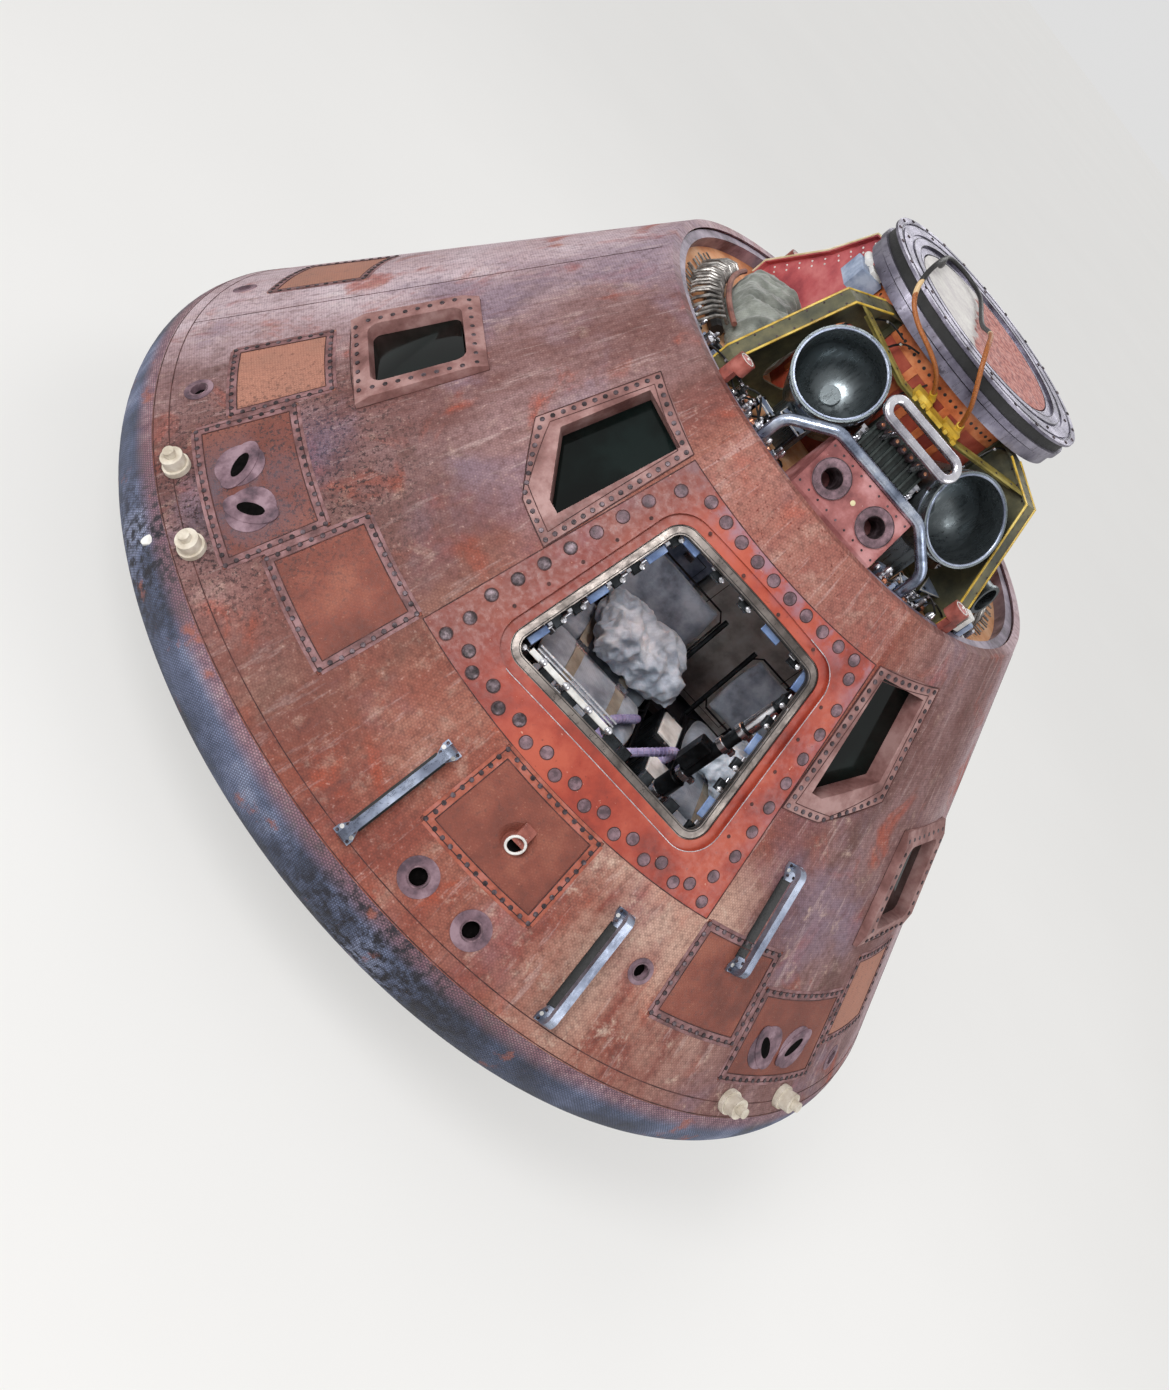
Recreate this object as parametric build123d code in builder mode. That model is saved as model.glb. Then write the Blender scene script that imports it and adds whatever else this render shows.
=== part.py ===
"""Conical space capsule standing on its aft heat shield, with its forward cover gone and side hatch open.

Frame: origin at the middle of the aft heat shield's lowest face, +Z up the capsule's axis,
side hatch towards -Y. Azimuths are in degrees from -Y towards +X. Lengths are in millimetres.
On the cone, a height is a rise above the seam between the aft shield and the cone panels.
In the forward compartment, a height is a rise above the deck.
"""
import os
from math import asin, cos, degrees, pi, radians, sin, sqrt, tan

from build123d import *

os.makedirs("parts", exist_ok=True)

# Mould line of the shell
BASE_RADIUS = 4693.9        # spherical radius of the aft heat shield
CORNER_RADIUS = 195.6       # rounding between the aft shield and the cone
MAX_RADIUS = 1955.8         # largest radius, on the rounded corner
CONE_ANGLE = 33.0           # half angle of the cone
BEARING_RADIUS = 150.0      # flattened patch that bears on the floor
SEAM_RISE = 92.11           # seam between aft shield and cone panels, above the widest line
CONE_HEIGHT = 1501.0        # from that seam to the upper edge of the cone panels
SHIELD_THICKNESS = 70.0
WALL = 100.0                # cone panel and cabin wall together
RIM_SKIN = 30.0             # thin outer skin that stands up past the forward deck
FLOOR_THICKNESS = 30.0
CLEARANCE = 0.3             # between faces that seat on each other

# Forward compartment
DECK_DROP = 95.0            # underside of the forward deck below the cone's upper edge
DECK_THICKNESS = 35.0
RIM_WIDTH = 36.6
RIM_HEIGHT = 50.0
RIM_GAP = 8.0               # between the rim and the outer skin
TUNNEL_RADIUS = 395.0
TUNNEL_WALL = 35.0
TUNNEL_HEIGHT = 527.0       # above the deck
TUNNEL_SKIRT = 18.0         # below the deck
TUNNEL_FLANGE = 40.0        # flange bolted to the underside of the deck
RING_RADIUS = 486.0         # docking ring
RING_HEIGHT = 120.0
RING_LIP = 24.0             # inward lip of the ring over the tunnel's bore
RING_LIP_DEPTH = 30.0
HATCH_DROP = 10.0           # face of the forward hatch below the ring's top
HATCH_THICKNESS = 45.0
HATCH_PLAY = 8.0            # round the forward hatch in the tunnel's bore
HATCH_LIP_PLAY = 6.0

corner_r = MAX_RADIUS - CORNER_RADIUS
base_centre_z = sqrt(BASE_RADIUS ** 2 - BEARING_RADIUS ** 2)
corner_z = base_centre_z - sqrt((BASE_RADIUS - CORNER_RADIUS) ** 2 - corner_r ** 2)
tangent_r = corner_r + CORNER_RADIUS * cos(radians(CONE_ANGLE))
tangent_z = corner_z + CORNER_RADIUS * sin(radians(CONE_ANGLE))
seam_z = corner_z + SEAM_RISE
seam_radius = tangent_r + (tangent_z - seam_z) * tan(radians(CONE_ANGLE))
deck_rise = CONE_HEIGHT - DECK_DROP
deck_z = seam_z + deck_rise
deck_top_z = deck_z + DECK_THICKNESS
tunnel_bore = TUNNEL_RADIUS - TUNNEL_WALL
ring_z = deck_top_z + TUNNEL_HEIGHT
ring_top_z = ring_z + RING_HEIGHT


def cone_radius(rise, depth=0.0):
    """Radius of the cone at a rise above the seam and a depth below the outer surface."""
    return seam_radius - rise * tan(radians(CONE_ANGLE)) - depth / cos(radians(CONE_ANGLE))


def spot(azimuth, radius, z):
    """Point at an azimuth, a radius and a height above the floor."""
    turn = radians(azimuth)
    return Vector(radius * sin(turn), -radius * cos(turn), z)


def radial_plane(azimuth):
    """Upright plane through the axis: local x points outwards and local y up."""
    turn = radians(azimuth)
    return Plane(origin=(0, 0, 0), x_dir=(sin(turn), -cos(turn), 0), z_dir=(-cos(turn), -sin(turn), 0))


def surface_plane(azimuth, rise):
    """Plane on the cone: local z outwards, local y up the slope, local x round the cone."""
    turn = radians(azimuth)
    lean = radians(CONE_ANGLE)
    outwards = (sin(turn) * cos(lean), -cos(turn) * cos(lean), sin(lean))
    origin = spot(azimuth, cone_radius(rise), seam_z + rise)
    return Plane(origin=origin, x_dir=(cos(turn), sin(turn), 0), z_dir=outwards)


def aimed_plane(azimuth, radius, z, aim_azimuth, aim_elevation):
    """Plane at a spot whose local z points at an azimuth and an elevation, local x level."""
    turn = radians(aim_azimuth)
    rise = radians(aim_elevation)
    outwards = (sin(turn) * cos(rise), -cos(turn) * cos(rise), sin(rise))
    return Plane(origin=spot(azimuth, radius, z), x_dir=(cos(turn), sin(turn), 0), z_dir=outwards)


def shifted(plane, x, y):
    """The same plane with its origin moved to a local x and y."""
    return Plane(origin=plane.from_local_coords((x, y, 0)), x_dir=plane.x_dir, z_dir=plane.z_dir)


def turned(points, from_azimuth, to_azimuth, mode=Mode.ADD):
    """Turn an outline of (radius, height) points about the axis, between two azimuths."""
    with BuildSketch(radial_plane(from_azimuth)) as outline:
        with BuildLine():
            Polyline(*points, close=True)
        make_face()
    revolve(outline.sketch, axis=Axis.Z, revolution_arc=to_azimuth - from_azimuth, mode=mode)


def cone_layer(from_azimuth, to_azimuth, low, high, outer, inner, mode=Mode.ADD):
    """Layer of the cone between two rises and two depths below the outer surface."""
    outline = [
        (cone_radius(low, outer), seam_z + low),
        (cone_radius(high, outer), seam_z + high),
        (cone_radius(high, inner), seam_z + high),
        (cone_radius(low, inner), seam_z + low),
    ]
    turned(outline, from_azimuth, to_azimuth, mode)


def prism(plane, points, low, high, radius=0.0, grow=0.0, mode=Mode.ADD):
    """Straight-sided block over an outline in a plane, between two local heights."""
    with BuildSketch(plane.offset(low)) as outline:
        with BuildLine():
            Polyline(*points, close=True)
        make_face()
        if grow:
            offset(amount=grow, kind=Kind.INTERSECTION)
        if radius:
            fillet(outline.vertices(), radius)
    extrude(outline.sketch, amount=high - low, mode=mode)


def funnel(plane, points, low, high, spread, radius):
    """Cut that widens from an outline at a low local height to one grown by spread at a high one."""
    sections = []
    for height, growth in ((low, 0.0), (high, spread)):
        with BuildSketch(plane.offset(height)) as outline:
            with BuildLine():
                Polyline(*points, close=True)
            make_face()
            if growth:
                offset(amount=growth, kind=Kind.INTERSECTION)
            fillet(outline.vertices(), radius + growth)
        sections.append(outline.sketch)
    loft(sections, ruled=True, mode=Mode.SUBTRACT)


def drum(plane, radius, low, high, mode=Mode.ADD):
    """Round block about a plane's normal, between two local heights."""
    with BuildSketch(plane.offset(low)) as outline:
        Circle(radius)
    extrude(outline.sketch, amount=high - low, mode=mode)


def block(x_span, y_span, z_span, mode=Mode.ADD):
    """Square block between two x, two y and two z values."""
    middle = [(low + high) / 2 for low, high in (x_span, y_span, z_span)]
    sizes = [high - low for low, high in (x_span, y_span, z_span)]
    with Locations(tuple(middle)):
        Box(*sizes, mode=mode)


def cabin_rise(radius):
    """Rise at which the cabin's inner wall has a radius."""
    return (seam_radius - WALL / cos(radians(CONE_ANGLE)) - radius) / tan(radians(CONE_ANGLE))


def trim_to_cabin(low, high):
    """Cut away what reaches into the cone's wall from inside, between two rises."""
    cone_layer(0, 360, low, high, -MAX_RADIUS / 2, WALL + CLEARANCE, Mode.SUBTRACT)


def on_plane(plane, corners):
    """Local outline of corners on the cone's surface, given as (azimuth, rise)."""
    local = []
    for azimuth, rise in corners:
        point = plane.to_local_coords(spot(azimuth, cone_radius(rise), seam_z + rise))
        local.append((point.X, point.Y))
    return local


def mirrored(corners):
    """The same corners on the other side of the hatch."""
    return [(-azimuth, rise) for azimuth, rise in reversed(corners)]


def save(builder, name):
    """Label a finished piece and write it."""
    builder.part.label = name
    export_step(builder.part, f"parts/{name}.step")


# Openings in the cone, as (azimuth, rise) corners on the outer surface
BROW_HEIGHT = 165.0         # of the cone panel over the hatch frame
DOOR_LINTEL = 106.0         # of the hatch frame over its opening
FRAME_AZIMUTH = 24.4
FRAME_LOW = 521.0
FRAME_HIGH = CONE_HEIGHT - BROW_HEIGHT
DOOR_LOW = 646.0
DOOR_HIGH = FRAME_HIGH - DOOR_LINTEL
DOOR_CORNERS = [(-17.45, DOOR_LOW), (17.45, DOOR_LOW), (17.45, DOOR_HIGH), (-17.45, DOOR_HIGH)]
DOOR_CORNER_RADIUS = 75.0
SEAL_WIDTH = 32.0
SEAL_DEPTH = 18.0
SEAL_BACK = 56.0
REBATE_WIDTH = 34.0         # step round the door opening
REBATE_DEPTH = 12.0
SIDE_WINDOW = [(-70.1, 572.0), (-53.3, 572.0), (-53.3, 948.0), (-70.1, 948.0)]
SIDE_GLASS = [(-67.0, 640.0), (-56.4, 640.0), (-56.4, 886.0), (-67.0, 886.0)]
SIDE_GLASS_RADIUS = 26.0
SIDE_REVEAL = 16.0          # how much wider the reveal is at the surface than at the glass
DOCK_WINDOW_RISES = [(-31.6, -441.0), (-24.5, -456.0), (-25.3, 5.0), (-42.0, 37.0), (-42.4, -316.0)]
DOCK_GLASS_RISES = [(-29.8, -380.0), (-27.6, -380.0), (-27.5, -15.0), (-39.3, -10.0), (-39.3, -266.0)]
DOCK_WINDOW = [(azimuth, FRAME_HIGH + rise) for azimuth, rise in DOCK_WINDOW_RISES]
DOCK_GLASS = [(azimuth, FRAME_HIGH + rise) for azimuth, rise in DOCK_GLASS_RISES]
DOCK_AIM_DROP = 210.0       # middle of a rendezvous window below the hatch frame's top
SIDE_WINDOW_AIM = (-61.7, 760.0)
DOCK_WINDOW_AIM = (-33.0, FRAME_HIGH - DOCK_AIM_DROP)
DOCK_WINDOW_TURN = 18.0     # widest turn of a rendezvous window frame, from the hatch frame
GLASS_THICKNESS = 18.0
GLASS_DEPTH = 70.0
INSET_DEPTH = 22.0
INSET_GAP = 1.5
SIDE_FRAME_PROUD = 20.0     # flat face above the cone along the window's middle
SIDE_FRAME_EDGE = 4.0       # height of its lower and upper edges there
SIDE_FRAME_SLOPE = 55.0     # length of the slopes at both ends
DOCK_FRAME_PROUD = 3.0

# Inset panels: node, from azimuth, to azimuth, from rise, to rise
INSETS = [
    ("scoop_panel", -7.75, 7.75, 226.0, 516.0),
    ("access_panel_left", -38.6, -24.8, 221.0, 524.0),
    ("access_panel_right", 24.8, 38.6, 221.0, 524.0),
    ("side_panels", -69.6, -57.4, 219.0, 525.0),
    ("side_panels", 57.4, 69.6, 219.0, 525.0),
    ("roll_panel_left", -57.0, -39.0, 116.0, 416.0),
    ("roll_panel_right", 39.0, 57.0, 116.0, 416.0),
    ("upper_panels", -98.0, -84.0, 236.0, 556.0),
    ("upper_panels", 84.0, 98.0, 236.0, 556.0),
]

# Nozzles: node, azimuth, rise, plug radius, bore radius, cant of the bore round the cone
NOZZLES = [
    ("pitch_nozzles", -3.6, 126.0, 66.0, 30.0, 0.0),
    ("pitch_nozzles", 3.6, 126.0, 66.0, 30.0, 0.0),
    ("vent_right", 21.0, 311.0, 46.0, 25.0, 0.0),
    ("yaw_nozzles", -63.3, 133.0, 52.0, 27.0, 0.0),
    ("yaw_nozzles", 63.3, 133.0, 52.0, 27.0, 0.0),
    ("yaw_nozzles", -87.7, 128.0, 46.0, 25.0, 0.0),
    ("yaw_nozzles", 87.7, 128.0, 46.0, 25.0, 0.0),
    ("roll_nozzles_left", -50.3, 234.0, 84.0, 33.0, -38.0),
    ("roll_nozzles_left", -44.4, 234.0, 84.0, 33.0, 38.0),
    ("roll_nozzles_right", 44.4, 234.0, 84.0, 33.0, -38.0),
    ("roll_nozzles_right", 50.3, 234.0, 84.0, 33.0, 38.0),
]
NOZZLE_PROUD = 2.0
NOZZLE_FLOOR = 20.0         # thickness left behind a bore
NOZZLE_MARGIN = 20.0        # how far trimming reaches past a plug

# Cone panels: name, from azimuth, to azimuth, from rise, to rise
PANEL_SPLIT = 78.0
PANELS = [
    ("cone_panel_front", -FRAME_AZIMUTH, FRAME_AZIMUTH, 0.0, FRAME_LOW),
    ("cone_panel_brow", -FRAME_AZIMUTH, FRAME_AZIMUTH, FRAME_HIGH, CONE_HEIGHT),
    ("cone_panel_left", -PANEL_SPLIT, -FRAME_AZIMUTH, 0.0, CONE_HEIGHT),
    ("cone_panel_right", FRAME_AZIMUTH, PANEL_SPLIT, 0.0, CONE_HEIGHT),
    ("cone_panel_left_rear", -180.0, -PANEL_SPLIT, 0.0, CONE_HEIGHT),
    ("cone_panel_right_rear", PANEL_SPLIT, 180.0, 0.0, CONE_HEIGHT),
]

THROUGH = 400.0             # how far cutting blocks reach past the wall
PROUD = 50.0                # how far cutting layers reach past the outer surface
side_plane_left = surface_plane(*SIDE_WINDOW_AIM)
side_plane_right = surface_plane(-SIDE_WINDOW_AIM[0], SIDE_WINDOW_AIM[1])
dock_plane_left = surface_plane(*DOCK_WINDOW_AIM)
dock_plane_right = surface_plane(-DOCK_WINDOW_AIM[0], DOCK_WINDOW_AIM[1])
door_plane = surface_plane(0, (DOOR_CORNERS[0][1] + DOOR_CORNERS[2][1]) / 2)

# Windows: side, plane, azimuth of the middle, frame corners, glass corners
SIDE_WINDOWS = [
    ("left", side_plane_left, SIDE_WINDOW_AIM[0], SIDE_WINDOW, SIDE_GLASS),
    ("right", side_plane_right, -SIDE_WINDOW_AIM[0], mirrored(SIDE_WINDOW), mirrored(SIDE_GLASS)),
]
DOCK_WINDOWS = [
    ("left", dock_plane_left, DOCK_WINDOW_AIM[0], DOCK_WINDOW, DOCK_GLASS),
    ("right", dock_plane_right, -DOCK_WINDOW_AIM[0], mirrored(DOCK_WINDOW), mirrored(DOCK_GLASS)),
]

# Aft heat shield: flattened patch, sphere, rounded corner, and the same again on the inside
base_start = asin(BEARING_RADIUS / BASE_RADIUS)
base_end = asin(corner_r / (BASE_RADIUS - CORNER_RADIUS))
inner_base = BASE_RADIUS - SHIELD_THICKNESS
inner_corner = CORNER_RADIUS - SHIELD_THICKNESS
corner_start = base_end - pi / 2
outer_seam = asin(SEAM_RISE / CORNER_RADIUS)
inner_seam = asin(SEAM_RISE / inner_corner)


def on_base(angle, radius):
    """Point of the shield's spherical dish, as (radius, height)."""
    return (radius * sin(angle), base_centre_z - radius * cos(angle))


def on_corner(angle, radius):
    """Point of the shield's rounded corner, as (radius, height)."""
    return (corner_r + radius * cos(angle), corner_z + radius * sin(angle))


with BuildPart() as aft_heat_shield:
    with BuildSketch(radial_plane(0)):
        with BuildLine():
            Line((0, 0), (BEARING_RADIUS, 0))
            ThreePointArc(on_base(base_start, BASE_RADIUS),
                          on_base((base_start + base_end) / 2, BASE_RADIUS),
                          on_base(base_end, BASE_RADIUS))
            ThreePointArc(on_corner(corner_start, CORNER_RADIUS),
                          on_corner((corner_start + outer_seam) / 2, CORNER_RADIUS),
                          on_corner(outer_seam, CORNER_RADIUS))
            Line(on_corner(outer_seam, CORNER_RADIUS), on_corner(inner_seam, inner_corner))
            ThreePointArc(on_corner(inner_seam, inner_corner),
                          on_corner((corner_start + inner_seam) / 2, inner_corner),
                          on_corner(corner_start, inner_corner))
            ThreePointArc(on_base(base_end, inner_base), on_base(base_end / 2, inner_base),
                          on_base(0, inner_base))
            Line(on_base(0, inner_base), (0, 0))
        make_face()
    revolve(axis=Axis.Z)
save(aft_heat_shield, "aft_heat_shield")

# Cone panels with their windows, insets and nozzle holes cut
for name, from_azimuth, to_azimuth, low, high in PANELS:
    with BuildPart() as panel:
        if high == CONE_HEIGHT:
            outline = [
                (cone_radius(low), seam_z + low),
                (cone_radius(high), seam_z + high),
                (cone_radius(high, RIM_SKIN), seam_z + high),
                (cone_radius(deck_rise, RIM_SKIN), deck_z),
                (cone_radius(deck_rise, WALL), deck_z),
                (cone_radius(low, WALL), seam_z + low),
            ]
            turned(outline, from_azimuth, to_azimuth)
        else:
            cone_layer(from_azimuth, to_azimuth, low, high, 0, WALL)
        for _, inset_from, inset_to, inset_low, inset_high in INSETS:
            if inset_from > from_azimuth - 1 and inset_to < to_azimuth + 1 and inset_high < high:
                gap_turn = degrees(INSET_GAP / cone_radius(inset_low))
                cone_layer(inset_from - gap_turn, inset_to + gap_turn, inset_low - INSET_GAP,
                           inset_high + INSET_GAP, -PROUD, INSET_DEPTH, Mode.SUBTRACT)
        for _, plane, azimuth, corners, _ in SIDE_WINDOWS + DOCK_WINDOWS:
            if from_azimuth < azimuth < to_azimuth:
                prism(plane, on_plane(plane, corners), -THROUGH, THROUGH, mode=Mode.SUBTRACT)
        for _, azimuth, rise, plug_radius, _, _ in NOZZLES:
            if from_azimuth < azimuth < to_azimuth and low < rise < high:
                drum(surface_plane(azimuth, rise), plug_radius, -THROUGH, THROUGH, Mode.SUBTRACT)
    save(panel, name)

# Hatch frame with a step round the open side hatch, and the metal seal ring in it
door_outline = on_plane(door_plane, DOOR_CORNERS)
with BuildPart() as door_rebate:
    prism(door_plane, door_outline, -THROUGH, THROUGH, DOOR_CORNER_RADIUS + REBATE_WIDTH, grow=REBATE_WIDTH)
    cone_layer(-FRAME_AZIMUTH, FRAME_AZIMUTH, FRAME_LOW, FRAME_HIGH, -PROUD, REBATE_DEPTH, Mode.INTERSECT)
with BuildPart() as hatch_frame:
    cone_layer(-FRAME_AZIMUTH, FRAME_AZIMUTH, FRAME_LOW, FRAME_HIGH, 0, WALL)
    add(door_rebate.part, mode=Mode.SUBTRACT)
    prism(door_plane, door_outline, -THROUGH, THROUGH, DOOR_CORNER_RADIUS, mode=Mode.SUBTRACT)
save(hatch_frame, "hatch_frame")

with BuildPart() as hatch_seal:
    prism(door_plane, door_outline, -THROUGH, THROUGH, DOOR_CORNER_RADIUS, grow=-CLEARANCE)
    prism(door_plane, door_outline, -THROUGH, THROUGH,
          DOOR_CORNER_RADIUS - SEAL_WIDTH, grow=-SEAL_WIDTH, mode=Mode.SUBTRACT)
    cone_layer(-FRAME_AZIMUTH, FRAME_AZIMUTH, FRAME_LOW, FRAME_HIGH, SEAL_DEPTH, SEAL_BACK, Mode.INTERSECT)
save(hatch_seal, "hatch_seal")

# Window frames and panes, left and right
for side, plane, azimuth, corners, glass in SIDE_WINDOWS:
    glass_outline = on_plane(plane, glass)
    half_turn = abs(corners[0][0] - corners[1][0])
    with BuildPart() as side_window_frame:
        prism(plane, on_plane(plane, corners), -THROUGH, THROUGH, grow=-CLEARANCE)
        prism(plane, glass_outline, -THROUGH, THROUGH, SIDE_GLASS_RADIUS, mode=Mode.SUBTRACT)
        funnel(plane, glass_outline, -GLASS_DEPTH, SIDE_FRAME_PROUD, SIDE_REVEAL, SIDE_GLASS_RADIUS)
        rises = [rise for _, rise in corners]
        cone_layer(azimuth - half_turn, azimuth + half_turn, min(rises) - 2 * PROUD, max(rises) + 2 * PROUD,
                   -2 * PROUD, WALL, Mode.INTERSECT)
        ends = [y for _, y in on_plane(plane, corners)]
        low_y, high_y = min(ends) - 1, max(ends) + 1
        slopes = [(low_y, -THROUGH), (low_y, SIDE_FRAME_EDGE), (low_y + SIDE_FRAME_SLOPE, SIDE_FRAME_PROUD),
                  (high_y - SIDE_FRAME_SLOPE, SIDE_FRAME_PROUD), (high_y, SIDE_FRAME_EDGE), (high_y, -THROUGH)]
        across_plane = Plane(origin=plane.origin, x_dir=plane.y_dir, z_dir=plane.x_dir)
        prism(across_plane, slopes, -THROUGH, THROUGH, mode=Mode.INTERSECT)
    save(side_window_frame, f"side_window_frame_{side}")

for side, plane, azimuth, corners, glass in DOCK_WINDOWS:
    turn_sign = 1 if azimuth > 0 else -1
    near, far = sorted((turn_sign * FRAME_AZIMUTH, turn_sign * (FRAME_AZIMUTH + DOCK_WINDOW_TURN + 1)))
    with BuildPart() as dock_window_frame:
        prism(plane, on_plane(plane, corners), -THROUGH, THROUGH, grow=-CLEARANCE)
        prism(plane, on_plane(plane, glass), -THROUGH, THROUGH, mode=Mode.SUBTRACT)
        cone_layer(near, far, min(rise for _, rise in corners) - PROUD, deck_rise - 1,
                   -DOCK_FRAME_PROUD, WALL, Mode.INTERSECT)
    save(dock_window_frame, f"rendezvous_window_frame_{side}")

for side_window, dock_window in zip(SIDE_WINDOWS, DOCK_WINDOWS):
    side, side_plane, _, _, side_glass = side_window
    _, dock_plane, _, _, dock_glass = dock_window
    with BuildPart() as window_panes:
        prism(side_plane, on_plane(side_plane, side_glass), -GLASS_DEPTH - GLASS_THICKNESS, -GLASS_DEPTH,
              SIDE_GLASS_RADIUS - CLEARANCE, grow=-CLEARANCE)
        prism(dock_plane, on_plane(dock_plane, dock_glass), -GLASS_DEPTH - GLASS_THICKNESS, -GLASS_DEPTH,
              grow=-CLEARANCE)
    save(window_panes, f"window_panes_{side}")

# Inset panels, flush with the cone; the middle one has a dished recess for its scoop
SCOOP_SPOT = (0.6, 358.0)   # azimuth, rise
SCOOP_DISH_RADIUS = 70.0
SCOOP_DISH_FLOOR = 40.0     # radius of the dish's flat floor
SCOOP_DISH_DEPTH = 14.0
for name in dict.fromkeys(row[0] for row in INSETS):
    with BuildPart() as inset:
        for _, from_azimuth, to_azimuth, low, high in [row for row in INSETS if row[0] == name]:
            cone_layer(from_azimuth, to_azimuth, low, high, 0, INSET_DEPTH)
            for _, azimuth, rise, plug_radius, _, _ in NOZZLES:
                if from_azimuth < azimuth < to_azimuth and low < rise < high:
                    drum(surface_plane(azimuth, rise), plug_radius, -THROUGH, THROUGH, Mode.SUBTRACT)
        if name == "scoop_panel":
            drum(surface_plane(*SCOOP_SPOT), SCOOP_DISH_RADIUS, 0, PROUD, Mode.SUBTRACT)
            with Locations(surface_plane(*SCOOP_SPOT).offset(-SCOOP_DISH_DEPTH)):
                Cone(SCOOP_DISH_FLOOR, SCOOP_DISH_RADIUS, SCOOP_DISH_DEPTH,
                     align=(Align.CENTER, Align.CENTER, Align.MIN), mode=Mode.SUBTRACT)
    save(inset, name)

# Vent scoop: an oblique tube with a square ramp behind its mouth, on the dish's floor
SCOOP_TUBE_RADIUS = 33.0
SCOOP_TUBE_WALL = 8.0
SCOOP_TUBE_FLOOR = 3.0
SCOOP_HEIGHT = 46.0
SCOOP_CUT = 32.0            # slope of the mouth
SCOOP_RAMP_HALF_WIDTH = 23.0
SCOOP_RAMP = [(4.0, 0.0), (30.0, 0.0), (74.0, 17.0), (72.0, 19.0), (4.0, 33.0)]
with BuildPart() as vent_scoop:
    scoop_plane = surface_plane(*SCOOP_SPOT).offset(-SCOOP_DISH_DEPTH + CLEARANCE)
    drum(scoop_plane, SCOOP_TUBE_RADIUS, 0, SCOOP_HEIGHT)
    drum(scoop_plane, SCOOP_TUBE_RADIUS - SCOOP_TUBE_WALL, SCOOP_TUBE_FLOOR, SCOOP_HEIGHT, Mode.SUBTRACT)
    split(bisect_by=scoop_plane.offset(SCOOP_HEIGHT / 2).rotated((SCOOP_CUT, 0, 0)), keep=Keep.BOTTOM)
    ramp_plane = Plane(origin=scoop_plane.origin, x_dir=scoop_plane.y_dir, z_dir=scoop_plane.x_dir)
    prism(ramp_plane, SCOOP_RAMP, -SCOOP_RAMP_HALF_WIDTH, SCOOP_RAMP_HALF_WIDTH)
save(vent_scoop, "vent_scoop")

# Nozzle plugs, flush with the cone
for name in dict.fromkeys(row[0] for row in NOZZLES):
    with BuildPart() as nozzle:
        for _, azimuth, rise, plug_radius, bore_radius, cant in [row for row in NOZZLES if row[0] == name]:
            plane = surface_plane(azimuth, rise)
            reach = plug_radius + NOZZLE_MARGIN
            turn = degrees(reach / cone_radius(rise))
            drum(plane, plug_radius - CLEARANCE, -WALL, PROUD)
            drum(plane.rotated((0, cant, 0)), bore_radius, NOZZLE_FLOOR - WALL, THROUGH, Mode.SUBTRACT)
            cone_layer(azimuth - turn, azimuth + turn, rise - reach, rise + reach, -2 * PROUD,
                       -NOZZLE_PROUD, Mode.SUBTRACT)
            cone_layer(azimuth - turn, azimuth + turn, rise - reach, rise + reach, WALL - 1,
                       WALL + 2 * PROUD, Mode.SUBTRACT)
    save(nozzle, name)

# Cabin floor
FLOOR_EDGE_GAP = 2.0
floor_radius = corner_r + sqrt(inner_corner ** 2 - SEAM_RISE ** 2) - FLOOR_EDGE_GAP
with BuildPart() as cabin_floor:
    drum(Plane.XY, floor_radius, seam_z - FLOOR_THICKNESS, seam_z)
save(cabin_floor, "cabin_floor")

# Forward deck and rim
rim_rise = deck_rise + DECK_THICKNESS + RIM_HEIGHT
rim_outer = cone_radius(rim_rise, RIM_SKIN) - RIM_GAP
rim_inner = rim_outer - RIM_WIDTH
rim_top_z = deck_top_z + RIM_HEIGHT
BOX_HALF_WIDTH = 185.0      # forward engine box
BOX_SIDE_GAP = 4.0
BOX_OVERHANG = 8.0          # front of the box past the rim's inner edge
BOX_DEPTH = 188.0
BOX_LIP = 65.0
BOX_HEIGHT = 225.0
with BuildPart() as forward_deck:
    deck_edge = cone_radius(deck_rise + DECK_THICKNESS, RIM_SKIN) - 2
    turned([(TUNNEL_RADIUS + CLEARANCE, deck_z), (deck_edge, deck_z), (deck_edge, deck_top_z),
            (TUNNEL_RADIUS + CLEARANCE, deck_top_z)], 0, 360)
save(forward_deck, "forward_deck")

with BuildPart() as forward_rim:
    turned([(rim_inner, deck_top_z), (rim_outer, deck_top_z), (rim_outer, rim_top_z),
            (rim_inner, rim_top_z)], 0, 360)
    notch_half = BOX_HALF_WIDTH + BOX_SIDE_GAP
    block((-notch_half, notch_half), (-rim_outer - PROUD, -rim_inner + 2 * RIM_WIDTH),
          (deck_top_z - PROUD, rim_top_z + PROUD), Mode.SUBTRACT)
save(forward_rim, "forward_rim")

# Tunnel with its bolting flange under the deck
with BuildPart() as tunnel:
    flange_r = TUNNEL_RADIUS + TUNNEL_FLANGE
    foot_z = deck_z - TUNNEL_SKIRT
    turned([(tunnel_bore, foot_z), (flange_r, foot_z), (flange_r, deck_z), (TUNNEL_RADIUS, deck_z),
            (TUNNEL_RADIUS, ring_z), (tunnel_bore, ring_z)], 0, 360)
save(tunnel, "tunnel")

# Docking ring: stepped outside and grooved top
# Steps from the foot up: inset from the ring's radius, height reached
RING_STEPS = [(12.0, 40.0), (28.0, 45.0), (2.0, 69.0), (28.0, 74.0), (14.0, 110.0), (0.0, RING_HEIGHT)]
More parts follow.
